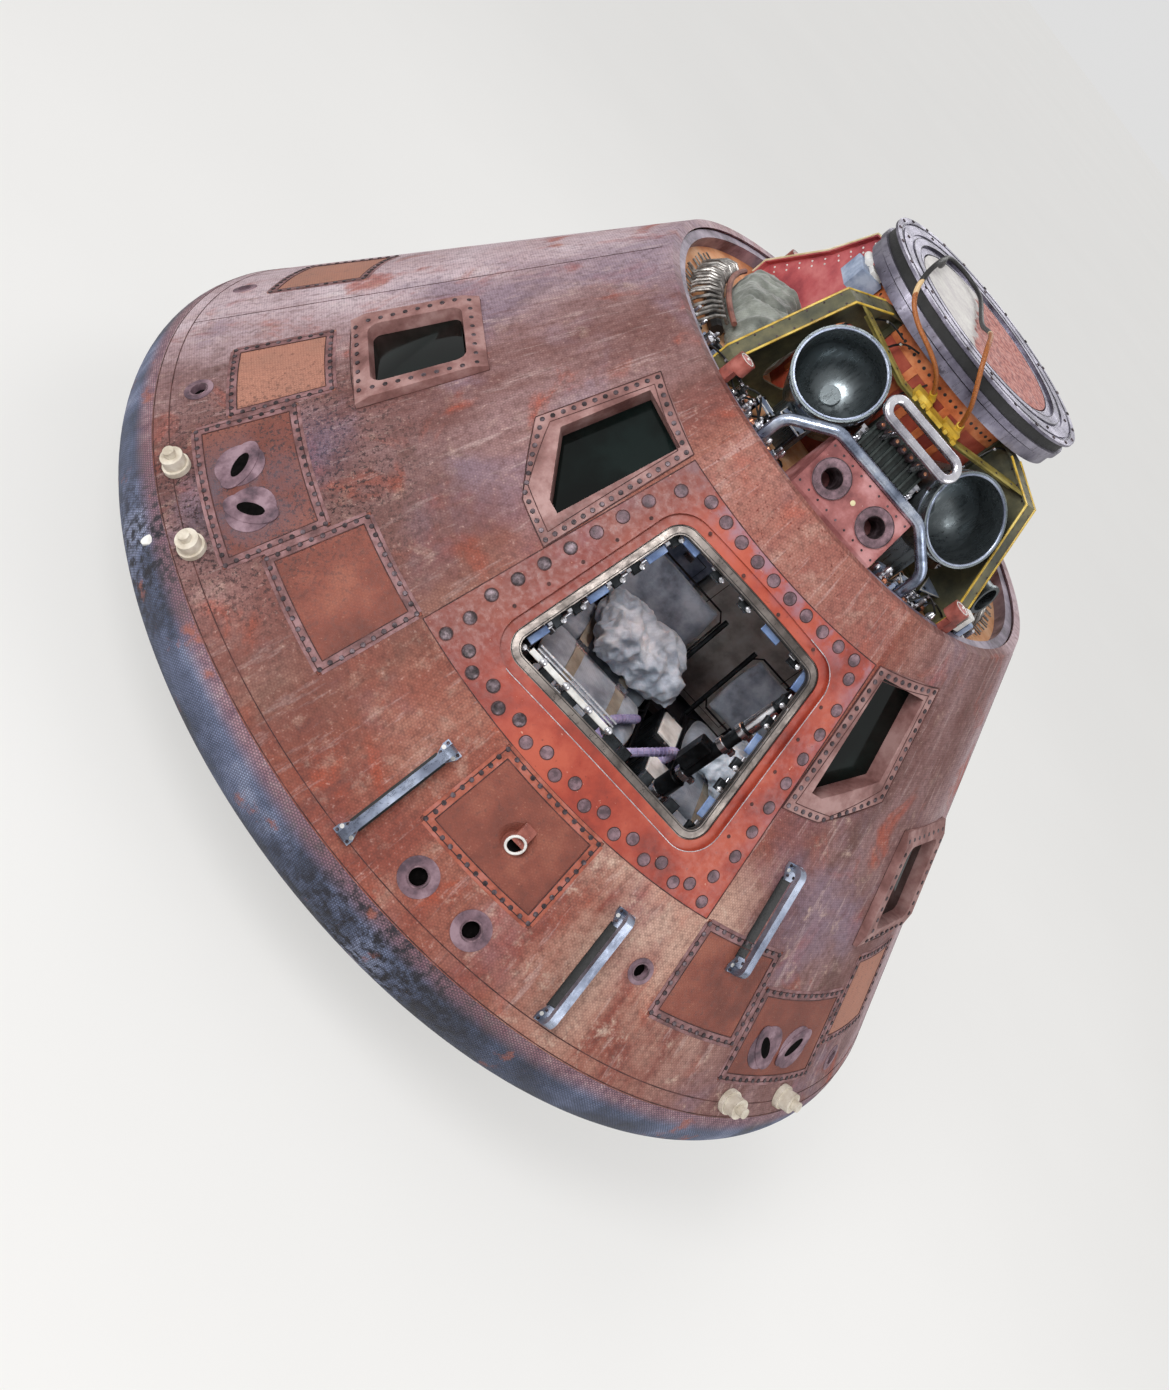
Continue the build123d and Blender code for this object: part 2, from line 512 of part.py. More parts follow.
# Grooves in the top face: place between its inner step, 0, and its edge, 1, then width and depth
RING_GROOVES = [(0.78, 8.0, 7.0), (0.38, 12.0, 5.0)]
RING_STEP_WIDTH = 30.0      # sunken step round the hatch
RING_STEP_DEPTH = 10.0
lip_radius = tunnel_bore - RING_LIP
step_radius = lip_radius + RING_STEP_WIDTH
with BuildPart() as docking_ring:
    outline = []
    step_z = ring_z
    for inset, height in RING_STEPS:
        outline += [(RING_RADIUS - inset, step_z), (RING_RADIUS - inset, ring_z + height)]
        step_z = ring_z + height
    for place, width, depth in RING_GROOVES:
        groove_outer = step_radius + place * (RING_RADIUS - step_radius)
        outline += [(groove_outer, ring_top_z), (groove_outer, ring_top_z - depth),
                    (groove_outer - width, ring_top_z - depth), (groove_outer - width, ring_top_z)]
    outline += [(step_radius, ring_top_z), (step_radius, ring_top_z - RING_STEP_DEPTH),
                (lip_radius, ring_top_z - RING_STEP_DEPTH), (lip_radius, ring_top_z - RING_LIP_DEPTH),
                (tunnel_bore, ring_top_z - RING_LIP_DEPTH), (tunnel_bore, ring_z)]
    turned(outline, 0, 360)
save(docking_ring, "docking_ring")

# Forward hatch, seated from below against the ring's lip
with BuildPart() as forward_hatch:
    seat_z = ring_top_z - RING_LIP_DEPTH - CLEARANCE
    hatch_radius = tunnel_bore - HATCH_PLAY
    face_radius = lip_radius - HATCH_LIP_PLAY
    turned([(0, seat_z - HATCH_THICKNESS), (hatch_radius, seat_z - HATCH_THICKNESS), (hatch_radius, seat_z),
            (face_radius, seat_z), (face_radius, ring_top_z - HATCH_DROP),
            (0, ring_top_z - HATCH_DROP)], 0, 360)
save(forward_hatch, "forward_hatch")

# Gussets between the tunnel and the deck, each a web with flanged edges
# Outlines from the foot up to the head: share of the bay's width, share of the tunnel's height
FRONT_GUSSET = [(1.0, 0.0), (1.0, 0.18), (0.60, 0.911), (0.19, 0.977)]
REAR_GUSSET = [(1.0, 0.0), (1.0, 0.125), (0.656, 0.57), (0.462, 0.93), (0.237, 0.977)]
FRONT_GUSSET_HOLE = [(0.14, 0.125), (0.61, 0.125), (0.46, 0.75), (0.14, 0.75)]
FRONT_GUSSET_GAP = 47.0     # between a gusset's foot and the rim
REAR_GUSSET_GAP = 25.0
GUSSET_HOLE_RADIUS = 0.13   # share of the bay's width
GUSSET_WEB = 10.0
GUSSET_FLANGE = 62.0
GUSSET_FLANGE_THICKNESS = 8.0
GUSSET_AZIMUTH = 44.0
# Gussets: name, azimuth, gap at the foot, outline, hole
GUSSETS = [
    ("front_left", -GUSSET_AZIMUTH, FRONT_GUSSET_GAP, FRONT_GUSSET, FRONT_GUSSET_HOLE),
    ("front_right", GUSSET_AZIMUTH, FRONT_GUSSET_GAP, FRONT_GUSSET, FRONT_GUSSET_HOLE),
    ("rear_left", GUSSET_AZIMUTH - 180.0, REAR_GUSSET_GAP, REAR_GUSSET, None),
    ("rear_right", 180.0 - GUSSET_AZIMUTH, REAR_GUSSET_GAP, REAR_GUSSET, None),
]
gusset_root = TUNNEL_RADIUS + CLEARANCE
for name, azimuth, gap, outline, hole in GUSSETS:
    plane = radial_plane(azimuth)
    bay = rim_inner - gap - gusset_root
    ends = [(0.0, outline[-1][1]), (0.0, 0.0)]
    shape = [(gusset_root + across * bay, deck_top_z + up * TUNNEL_HEIGHT) for across, up in outline + ends]
    with BuildPart() as gusset:
        prism(plane, shape, -GUSSET_FLANGE / 2, GUSSET_FLANGE / 2)
        for low, high in ((-GUSSET_FLANGE / 2, -GUSSET_WEB / 2), (GUSSET_WEB / 2, GUSSET_FLANGE / 2)):
            prism(plane, shape, low, high, grow=-GUSSET_FLANGE_THICKNESS, mode=Mode.SUBTRACT)
        if hole:
            cut = [(gusset_root + across * bay, deck_top_z + up * TUNNEL_HEIGHT) for across, up in hole]
            prism(plane, cut, -GUSSET_WEB, GUSSET_WEB, GUSSET_HOLE_RADIUS * bay, mode=Mode.SUBTRACT)
    save(gusset, f"gusset_{name}")

# Round caps on brackets that stand on the rim, one beside each gusset's foot
CAP_AZIMUTHS = [-37.9, 37.9, -142.1, 142.1]
CAP_RADIUS = 34.0
CAP_SET_BACK = 5.0          # middle of a cap inside the rim's inner edge
CAP_BASE_RISE = 97.0
CAP_HEIGHT = 50.0
CAP_RING = 7.0              # raised ring round a cap's top
CAP_RING_HEIGHT = 4.0
CAP_BRACKET_WIDTH = 40.0
CAP_BRACKET_EDGE = 8.0      # between a bracket and the rim's outer edge
with BuildPart() as gusset_caps:
    for azimuth in CAP_AZIMUTHS:
        cap_base_z = deck_top_z + CAP_BASE_RISE
        cap_plane = Plane(origin=spot(azimuth, rim_inner - CAP_SET_BACK, cap_base_z))
        drum(cap_plane, CAP_RADIUS, 0, CAP_HEIGHT)
        drum(cap_plane, CAP_RADIUS - CAP_RING, CAP_HEIGHT - CAP_RING_HEIGHT, CAP_HEIGHT, Mode.SUBTRACT)
        bracket = [(rim_inner + 1, rim_top_z), (rim_outer - CAP_BRACKET_EDGE, rim_top_z),
                   (rim_outer - CAP_BRACKET_EDGE, cap_base_z + 1), (rim_inner + 1, cap_base_z + 1)]
        prism(radial_plane(azimuth), bracket, -CAP_BRACKET_WIDTH / 2, CAP_BRACKET_WIDTH / 2)
save(gusset_caps, "gusset_caps")

# Drogue mortars and a smaller pilot mortar: tubes with rolled rims, dished floors and pedestals
# name, azimuth, reach past the tunnel, rise, aim azimuth, aim elevation, tube radius, length, pedestal
MORTARS = [
    ("mortar_left", -25.7, 332.0, 335.0, -20.0, 32.0, 155.0, 250.0, 120.0),
    ("mortar_right", 25.7, 332.0, 335.0, 20.0, 32.0, 155.0, 250.0, 120.0),
    ("pilot_mortar", 54.5, 395.0, 155.0, 54.5, 12.0, 56.0, 150.0, 60.0),
]
MORTAR_WALL = 8.0
MORTAR_DISH = 0.42          # share of a tube's length taken by its dished floor
MORTAR_BOSS = 0.22          # boss on the floor, as a share of the tube's radius
MORTAR_BOSS_HEIGHT = 14.0
MORTAR_BEAD_DEPTH = 10.0    # rolled bead at the mouth, and a clamp band below it
# Beads: drop below the mouth, how far it stands out
MORTAR_BEADS = [(0.0, 5.0), (42.0, 3.0)]
for name, azimuth, reach, rise, aim, elevation, radius, length, pedestal in MORTARS:
    mouth = aimed_plane(azimuth, TUNNEL_RADIUS + reach, deck_top_z + rise, aim, elevation)
    mouth_axis = Axis(mouth.origin, mouth.z_dir)
    profile_plane = Plane(origin=mouth.origin, x_dir=mouth.x_dir, z_dir=-mouth.y_dir)
    bore = radius - MORTAR_WALL
    floor = MORTAR_WALL - length
    dish_top = floor + MORTAR_DISH * length
    slant = sqrt(0.5)
    with BuildPart() as mortar:
        foot = mouth.offset(-length / 2).origin
        block((foot.X - pedestal / 2, foot.X + pedestal / 2), (foot.Y - pedestal / 2, foot.Y + pedestal / 2),
              (deck_top_z, foot.Z))
        drum(mouth, radius, -length, 0)
        for drop, stand_out in MORTAR_BEADS:
            with BuildSketch(profile_plane) as bead:
                with BuildLine():
                    Polyline((bore + 1, -drop), (radius + stand_out, -drop),
                             (radius + stand_out, -drop - MORTAR_BEAD_DEPTH),
                             (bore + 1, -drop - MORTAR_BEAD_DEPTH), close=True)
                make_face()
            revolve(bead.sketch, axis=mouth_axis)
        with BuildSketch(profile_plane) as hollow:
            with BuildLine():
                Polyline((0, floor), (0, 1), (bore, 1), (bore, dish_top))
                ThreePointArc((bore, dish_top), (slant * bore, dish_top + slant * (floor - dish_top)),
                              (0, floor))
            make_face()
        revolve(hollow.sketch, axis=mouth_axis, mode=Mode.SUBTRACT)
        drum(mouth, MORTAR_BOSS * radius, -length + 1, floor + MORTAR_BOSS_HEIGHT)
    save(mortar, name)

# Forward engine box with two nozzles in its sloping face
FORWARD_NOZZLE_X = 104.0
FORWARD_NOZZLE_RADIUS = 68.0
FORWARD_NOZZLE_BORE = 37.0
FORWARD_NOZZLE_PROUD = 5.0
FORWARD_NOZZLE_DEPTH = 110.0
box_front_y = -rim_inner - BOX_OVERHANG
box_rear_y = box_front_y + BOX_DEPTH
box_slope_y = box_front_y + (BOX_HEIGHT - BOX_LIP) * tan(radians(CONE_ANGLE))
with BuildPart() as engine_box:
    side_outline = [(box_front_y, deck_top_z), (box_front_y, deck_top_z + BOX_LIP),
                    (box_slope_y, deck_top_z + BOX_HEIGHT), (box_rear_y, deck_top_z + BOX_HEIGHT),
                    (box_rear_y, deck_top_z)]
    prism(Plane.YZ, side_outline, -BOX_HALF_WIDTH, BOX_HALF_WIDTH)
    face_z = deck_top_z + (BOX_LIP + BOX_HEIGHT) / 2
    face = aimed_plane(0, -(box_front_y + box_slope_y) / 2, face_z, 0, CONE_ANGLE)
    for nozzle_x in (-FORWARD_NOZZLE_X, FORWARD_NOZZLE_X):
        nozzle_plane = shifted(face, nozzle_x, 0)
        drum(nozzle_plane, FORWARD_NOZZLE_RADIUS, -PROUD, FORWARD_NOZZLE_PROUD)
        drum(nozzle_plane, FORWARD_NOZZLE_BORE, -FORWARD_NOZZLE_DEPTH, PROUD, Mode.SUBTRACT)
save(engine_box, "engine_box")

# Bent grab tube across the front bay, over the engine box
TUBE_RADIUS = 20.0
TUBE_SET_BACK = 95.0        # inside the rim's inner edge
TUBE_LEG_X = 342.0
TUBE_SHOULDER_X = 195.0
TUBE_LEG_RISE = 143.0
TUBE_BEND = 70.0
TUBE_PLAY = 4.0             # over the engine box
tube_y = -rim_inner + TUBE_SET_BACK
tube_foot_z = deck_top_z + CLEARANCE
tube_leg_z = deck_top_z + TUBE_LEG_RISE
tube_top_z = deck_top_z + BOX_HEIGHT + TUBE_RADIUS + TUBE_PLAY
with BuildPart() as grab_tube:
    with BuildLine() as path:
        FilletPolyline((-TUBE_LEG_X, tube_y, tube_foot_z), (-TUBE_LEG_X, tube_y, tube_leg_z),
                       (-TUBE_SHOULDER_X, tube_y, tube_top_z), (TUBE_SHOULDER_X, tube_y, tube_top_z),
                       (TUBE_LEG_X, tube_y, tube_leg_z), (TUBE_LEG_X, tube_y, tube_foot_z),
                       radius=TUBE_BEND)
    with BuildSketch(Plane(origin=path.line @ 0, z_dir=path.line % 0)):
        Circle(TUBE_RADIUS)
    sweep(path=path.line)
save(grab_tube, "grab_tube")

# Finned unit between the mortars
FIN_COUNT = 9
FIN_PITCH = 28.0
FIN_THICKNESS = 8.0
FIN_REACH = 24.0            # how far a fin stands out in front of the sloping face
FIN_ROOT = 10.0             # how far it starts behind it
UNIT_HALF_WIDTH = 118.0
UNIT_GAP = 15.0             # behind the engine box
UNIT_DEPTH = 0.29 * (-box_rear_y - TUNNEL_RADIUS)
UNIT_SHOULDER = 245.0
UNIT_HEIGHT = 345.0
UNIT_TOP_DEPTH = 0.28 * UNIT_DEPTH
unit_front_y = box_rear_y + UNIT_GAP
unit_rear_y = unit_front_y + UNIT_DEPTH
unit_top_y = unit_rear_y - UNIT_TOP_DEPTH
unit_outline = [(unit_front_y, deck_top_z), (unit_front_y, deck_top_z + UNIT_SHOULDER),
                (unit_top_y, deck_top_z + UNIT_HEIGHT), (unit_rear_y, deck_top_z + UNIT_HEIGHT),
                (unit_rear_y, deck_top_z)]
fin_outline = [(unit_front_y + FIN_ROOT, deck_top_z + UNIT_SHOULDER - 2 * FIN_ROOT),
               (unit_front_y - FIN_REACH, deck_top_z + UNIT_SHOULDER - FIN_ROOT),
               (unit_top_y - FIN_REACH, deck_top_z + UNIT_HEIGHT - FIN_ROOT),
               (unit_top_y + FIN_ROOT, deck_top_z + UNIT_HEIGHT - FIN_ROOT / 2)]
with BuildPart() as finned_unit:
    prism(Plane.YZ, unit_outline, -UNIT_HALF_WIDTH, UNIT_HALF_WIDTH)
    for index in range(FIN_COUNT):
        fin_x = (index - (FIN_COUNT - 1) / 2) * FIN_PITCH - FIN_THICKNESS / 2
        prism(Plane.YZ, fin_outline, fin_x, fin_x + FIN_THICKNESS)
save(finned_unit, "finned_unit")

# Oval handhold on two posts that stand between fins on the sloping face
HANDHOLD_TUBE = 16.0
HANDHOLD_REACH = 26.0       # middle of the loop in front of the unit
HANDHOLD_RISE = 412.0
HANDHOLD_TILT = 45.0
HANDHOLD_LENGTH = 235.0     # between the centres of its round ends
HANDHOLD_WIDTH = 108.0
HANDHOLD_POST_X = 2.5 * FIN_PITCH
HANDHOLD_POST_RADIUS = 8.0
handhold_plane = aimed_plane(0, HANDHOLD_REACH - unit_front_y, deck_top_z + HANDHOLD_RISE, 0, HANDHOLD_TILT)
with BuildPart() as handhold_posts:
    for post_x in (-HANDHOLD_POST_X, HANDHOLD_POST_X):
        post_plane = shifted(handhold_plane, post_x, HANDHOLD_TUBE - HANDHOLD_WIDTH / 2)
        drum(post_plane, HANDHOLD_POST_RADIUS, -HANDHOLD_WIDTH * 2, 0)
    half_width = UNIT_HALF_WIDTH + 1
    behind = [(unit_front_y - CLEARANCE, deck_z), (unit_front_y - CLEARANCE, deck_top_z + UNIT_SHOULDER),
              (unit_top_y - CLEARANCE, deck_top_z + UNIT_HEIGHT + CLEARANCE), (0, deck_top_z + UNIT_HEIGHT),
              (0, deck_z)]
    prism(Plane.YZ, behind, -half_width, half_width, mode=Mode.SUBTRACT)
with BuildPart() as handhold_loop:
    with BuildSketch(handhold_plane.offset(-HANDHOLD_TUBE)) as outline:
        SlotCenterToCenter(HANDHOLD_LENGTH, HANDHOLD_WIDTH)
        SlotCenterToCenter(HANDHOLD_LENGTH, HANDHOLD_WIDTH - 4 * HANDHOLD_TUBE, mode=Mode.SUBTRACT)
    extrude(outline.sketch, amount=2 * HANDHOLD_TUBE)
    fillet(handhold_loop.edges(), HANDHOLD_TUBE - 2)
    add(handhold_posts.part)
save(handhold_loop, "handhold_loop")

# Beam between the front gussets
BEAM_REACH = 33.0           # rear edge past the tunnel
BEAM_WIDTH = 42.0
BEAM_THICKNESS = 8.0
BEAM_WEB_DEPTH = 26.0
BEAM_WEB_THICKNESS = 6.0
BEAM_LEVEL_X = 130.0        # half length of its level middle
BEAM_LEVEL_DROP = 106.0     # level middle below the tunnel's top
BEAM_END_X = 460.0
BEAM_END_DROP = 28.0
beam_rear = TUNNEL_RADIUS + BEAM_REACH
beam_top_z = ring_z - BEAM_LEVEL_DROP
beam_line = [(-BEAM_END_X, ring_z - BEAM_END_DROP), (-BEAM_LEVEL_X, beam_top_z), (BEAM_LEVEL_X, beam_top_z),
             (BEAM_END_X, ring_z - BEAM_END_DROP)]
with BuildPart() as shoulder_beam:
    for depth, width in ((BEAM_THICKNESS, BEAM_WIDTH), (BEAM_WEB_DEPTH, BEAM_WEB_THICKNESS)):
        underside = [(x, z - depth) for x, z in reversed(beam_line)]
        prism(Plane.XZ, beam_line + underside, beam_rear, beam_rear + width)
    beside = [(0, deck_top_z), (MAX_RADIUS, deck_top_z), (MAX_RADIUS, ring_top_z), (0, ring_top_z)]
    edge = GUSSET_FLANGE / 2 + CLEARANCE
    prism(radial_plane(GUSSET_AZIMUTH), beside, -THROUGH, edge, mode=Mode.SUBTRACT)
    prism(radial_plane(-GUSSET_AZIMUTH), beside, -edge, THROUGH, mode=Mode.SUBTRACT)
save(shoulder_beam, "shoulder_beam")

# Cable loop that leaves the stepped bracket, rests on the docking ring and comes back
# Points: x, y, rise above the deck
CABLE_DIAMETER = 17.0
CABLE_ROUTE = [
    (-40, -452, 471), (-80, -492, 524), (-170, -520, 565), (-268, -495, 583), (-334, -458, 620),
    (-357, -420, 685), (-348, -345, 737), (-320, -220, 727), (-289, -60, 667), (-266, 65, 657.5),
    (-261, 150, 657.5), (-253, 225, 657.5), (-220, 284, 657.5), (-157, 308, 657.5), (-94, 284, 657.5),
    (-61, 223, 657.5), (-56, 140, 657.5), (-53, 30, 657.5), (-48, -110, 660), (-50, -260, 694),
    (-63, -400, 719), (-62, -500, 702), (-26, -550, 650), (28, -550, 585), (74, -508, 524), (100, -452, 471),
]
CABLE_BEND = 0.45           # share of the shorter run that a bend takes up
cable_points = [Vector(x, y, deck_top_z + rise) for x, y, rise in CABLE_ROUTE]
cable_radii = []
for before, point, after in zip(cable_points, cable_points[1:], cable_points[2:]):
    run_in = point - before
    run_out = after - point
    half_turn = radians(run_in.get_angle(run_out)) / 2
    cable_radii.append(CABLE_BEND * min(run_in.length, run_out.length) / tan(half_turn))
print("cable radii", [round(radius) for radius in cable_radii])
with BuildPart() as recovery_cable:
    with BuildLine() as route:
        FilletPolyline(*cable_points, radius=cable_radii)
    with BuildSketch(Plane(origin=route.line @ 0, z_dir=route.line % 0)):
        Circle(CABLE_DIAMETER / 2)
    sweep(path=route.line)
cable_length = sum(edge.length for edge in route.line.edges())
cable_volume = pi * CABLE_DIAMETER ** 2 / 4 * cable_length
print("cable length", round(cable_length), "volume ratio", recovery_cable.part.volume / cable_volume)
save(recovery_cable, "recovery_cable")

# Stepped bracket on the beam's middle, with a ferrule at each end of the cable
FERRULE_RADIUS = 13.0
FERRULE_LENGTH = 36.0
BRACKET_BASE = 8.0
BRACKET_LOW_X = -84.0
BRACKET_HIGH_X = 126.0
BRACKET_REAR = 10.0         # behind the beam's rear edge
BRACKET_FRONT = 52.0        # in front of the beam's rear edge
# Blocks on the base plate: from x, to x, front and rear in front of the beam's rear edge, height
BRACKET_BLOCKS = [
    (-84.0, -14.0, 50.0, -10.0, 27.0),
    (-14.0, 56.0, 72.0, 8.0, 15.0),
    (56.0, 126.0, 50.0, -10.0, 27.0),
    (-84.0, -68.0, 86.0, 49.0, 13.0),
    (-42.0, -28.0, 70.0, 49.0, 13.0),
    (70.0, 84.0, 70.0, 49.0, 13.0),
    (110.0, 126.0, 86.0, 49.0, 13.0),
]
bracket_z = beam_top_z + CLEARANCE
with BuildPart() as stepped_bracket:
    block((BRACKET_LOW_X, BRACKET_HIGH_X), (-beam_rear - BRACKET_FRONT, -beam_rear + BRACKET_REAR),
          (bracket_z, bracket_z + BRACKET_BASE))
    for low_x, high_x, front, rear, height in BRACKET_BLOCKS:
        block((low_x, high_x), (-beam_rear - front, -beam_rear - rear), (bracket_z, bracket_z + height))
    for end, inner in ((cable_points[0], cable_points[1]), (cable_points[-1], cable_points[-2])):
        drum(Plane(origin=end, z_dir=inner - end), FERRULE_RADIUS, -FERRULE_LENGTH, 0)
save(stepped_bracket, "stepped_bracket")

# Handrails: name, azimuth, upper rise, lower rise
UPPER_RAIL_DROP = 570.0     # its upper end below the hatch frame's top
UPPER_RAIL_SPAN = 344.0
upper_rail_high = FRAME_HIGH - UPPER_RAIL_DROP
RAILS = [
    ("handrail_left", -11.05, 405.0, 41.0),
    ("handrail_right", 15.1, 421.0, 57.0),
    ("handrail_upper_right", 32.1, upper_rail_high, upper_rail_high - UPPER_RAIL_SPAN),
]
RAIL_STANDOFF = 62.0
RAIL_WIDTH = 30.0
RAIL_THICKNESS = 20.0
RAIL_POST = 24.0
RAIL_OUTER_BEND = 34.0
RAIL_INNER_BEND = 16.0
RAIL_FOOT_WIDTH = 66.0
RAIL_FOOT_LENGTH = 22.0
RAIL_FOOT_TAPER = 60.0
RAIL_FOOT_THICKNESS = 10.0
for name, azimuth, high, low in RAILS:
    plane = surface_plane(azimuth, (high + low) / 2)
    side_plane = Plane(origin=plane.origin, x_dir=plane.y_dir, z_dir=plane.x_dir)
    half = (high - low) / cos(radians(CONE_ANGLE)) / 2
    with BuildPart() as rail:
        with BuildSketch(side_plane.offset(-RAIL_WIDTH / 2)) as outline:
            with BuildLine():
                Polyline((-half, CLEARANCE), (-half, RAIL_STANDOFF), (half, RAIL_STANDOFF), (half, CLEARANCE),
                         (half - RAIL_POST, CLEARANCE), (half - RAIL_POST, RAIL_STANDOFF - RAIL_THICKNESS),
                         (RAIL_POST - half, RAIL_STANDOFF - RAIL_THICKNESS), (RAIL_POST - half, CLEARANCE),
                         close=True)
            make_face()
            fillet(outline.vertices().group_by(Axis.Y)[-2], RAIL_INNER_BEND)
            fillet(outline.vertices().group_by(Axis.Y)[-1], RAIL_OUTER_BEND)
        extrude(outline.sketch, amount=RAIL_WIDTH)
        for end in (-half, half):
            inwards = 1 if end < 0 else -1
            shoulder = end + inwards * RAIL_FOOT_LENGTH
            tip = end + inwards * RAIL_FOOT_TAPER
            prism(plane, [(-RAIL_FOOT_WIDTH / 2, end), (RAIL_FOOT_WIDTH / 2, end),
                          (RAIL_FOOT_WIDTH / 2, shoulder), (RAIL_WIDTH / 2, tip), (-RAIL_WIDTH / 2, tip),
                          (-RAIL_FOOT_WIDTH / 2, shoulder)], CLEARANCE, RAIL_FOOT_THICKNESS)
    save(rail, name)

# Ablator pegs below the roll panels: azimuth, rise
PEGS = [(-52.5, 66.0), (-42.5, 59.0), (42.5, 59.0), (52.5, 66.0)]
# Steps of a peg from its foot: radius, height reached
PEG_STEPS = [(46.0, 20.0), (38.0, 60.0), (19.0, 86.0)]
with BuildPart() as ablator_pegs:
    for azimuth, rise in PEGS:
        low = CLEARANCE
        for peg_radius, height in PEG_STEPS:
            drum(surface_plane(azimuth, rise), peg_radius, low, height)
            low = height
save(ablator_pegs, "ablator_pegs")

# Three couches side by side: the crew lies on its back with its heads at the side hatch
COUCH_PITCH = 690.0
COUCH_WIDTH = 520.0
COUCH_BASE_RISE = 316.0
COUCH_PAD = 95.0
COUCH_HEAD_Y = -1150.0
COUCH_HIP_Y = -210.0
COUCH_BEND_Y = -130.0       # underside of the bend at the hips
COUCH_KNEE_Y = -30.0
COUCH_KNEE_RISE = 686.0
COUCH_EDGE = 30.0
COUCHES = [("couch_left", -1), ("couch_centre", 0), ("couch_right", 1)]
couch_z = seam_z + COUCH_BASE_RISE
knee_z = seam_z + COUCH_KNEE_RISE
for name, side in COUCHES:
    middle = side * COUCH_PITCH
    outline = [(COUCH_HEAD_Y, couch_z), (COUCH_BEND_Y, couch_z), (COUCH_KNEE_Y, knee_z),
               (COUCH_KNEE_Y - COUCH_PAD, knee_z), (COUCH_HIP_Y, couch_z + COUCH_PAD),
               (COUCH_HEAD_Y, couch_z + COUCH_PAD)]
    with BuildPart() as couch:
        prism(Plane.YZ, outline, middle - COUCH_WIDTH / 2, middle + COUCH_WIDTH / 2, COUCH_EDGE)
    save(couch, name)

# Couch frame: cross beams, legs to the floor, rails along, and struts up to the cabin's wall
FRAME_HEAD_Y = -1050.0
FRAME_HIP_Y = -330.0
FRAME_HALF_LENGTH = 890.0
FRAME_BEAM = 58.0
FRAME_LEG_X = 700.0
FRAME_LEG = 50.0
STRUT_RADIUS = 24.0
STRUT_REACH = 60.0          # how far a strut runs into the wall before it is cut to it
strut_x = COUCH_PITCH / 2
frame_top_z = couch_z - CLEARANCE
strut_top_z = seam_z + cabin_rise(sqrt(strut_x ** 2 + FRAME_HEAD_Y ** 2) + STRUT_RADIUS) + STRUT_REACH
with BuildPart() as couch_frame:
    for beam_y in (FRAME_HEAD_Y, FRAME_HIP_Y):
        block((-FRAME_HALF_LENGTH, FRAME_HALF_LENGTH), (beam_y - FRAME_BEAM / 2, beam_y + FRAME_BEAM / 2),
              (frame_top_z - FRAME_BEAM, frame_top_z))
        for leg_x in (-FRAME_LEG_X, FRAME_LEG_X):
            block((leg_x - FRAME_LEG / 2, leg_x + FRAME_LEG / 2),
                  (beam_y - FRAME_LEG / 2, beam_y + FRAME_LEG / 2), (seam_z, frame_top_z - FRAME_BEAM / 2))
    for rail_x in (-strut_x, strut_x):
        block((rail_x - FRAME_LEG / 2, rail_x + FRAME_LEG / 2), (FRAME_HEAD_Y, FRAME_HIP_Y),
              (frame_top_z - FRAME_LEG, frame_top_z))
        drum(Plane(origin=(rail_x, FRAME_HEAD_Y, 0)), STRUT_RADIUS, frame_top_z - FRAME_LEG, strut_top_z)
    trim_to_cabin(COUCH_BASE_RISE - 2 * FRAME_BEAM, deck_rise)
save(couch_frame, "couch_frame")

# Main console above the couches, on a beam from wall to wall
CONSOLE_HALF_WIDTH = 780.0
CONSOLE_BEAM_RISE = 996.0
CONSOLE_BEAM_WIDTH = 50.0
CONSOLE_BEAM_DEPTH = 60.0
# Outline of the console from the side: y, rise
CONSOLE_OUTLINE = [(-520.0, 1056.0), (-480.0, 1116.0), (380.0, 916.0), (360.0, 836.0)]
with BuildPart() as main_console:
    outline = [(y, seam_z + rise) for y, rise in CONSOLE_OUTLINE]
    prism(Plane.YZ, outline, -CONSOLE_HALF_WIDTH, CONSOLE_HALF_WIDTH)
    beam_z = seam_z + CONSOLE_BEAM_RISE
    block((-MAX_RADIUS, MAX_RADIUS), (-CONSOLE_BEAM_WIDTH / 2, CONSOLE_BEAM_WIDTH / 2),
          (beam_z - CONSOLE_BEAM_DEPTH / 2, beam_z + CONSOLE_BEAM_DEPTH / 2))
    trim_to_cabin(CONSOLE_BEAM_RISE / 2, deck_rise)
save(main_console, "main_console")

# Canvas pouches in the side bays of the forward compartment
POUCHES = [("canvas_pouch_left", -112.0, -56.0), ("canvas_pouch_right", 62.0, 112.0)]
POUCH_EDGE = 40.0
# Outline of a pouch: reach past the tunnel, rise
POUCH_OUTLINE = [(40.0, CLEARANCE), (300.0, CLEARANCE), (285.0, 165.0), (120.0, 215.0), (40.0, 190.0)]
for name, from_azimuth, to_azimuth in POUCHES:
    corners = [(TUNNEL_RADIUS + reach, deck_top_z + rise) for reach, rise in POUCH_OUTLINE]
    with BuildPart() as pouch:
        with BuildSketch(radial_plane(from_azimuth)) as outline:
            with BuildLine():
                Polyline(*corners, close=True)
            make_face()
            fillet(outline.vertices(), POUCH_EDGE)
        revolve(outline.sketch, axis=Axis.Z, revolution_arc=to_azimuth - from_azimuth)
    save(pouch, name)

print("parts built")
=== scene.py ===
import random
from math import acos, atan2, ceil, copysign, cos, degrees, hypot, pi, radians, sin, tan

import bpy
from mathutils import Matrix, Vector, noise


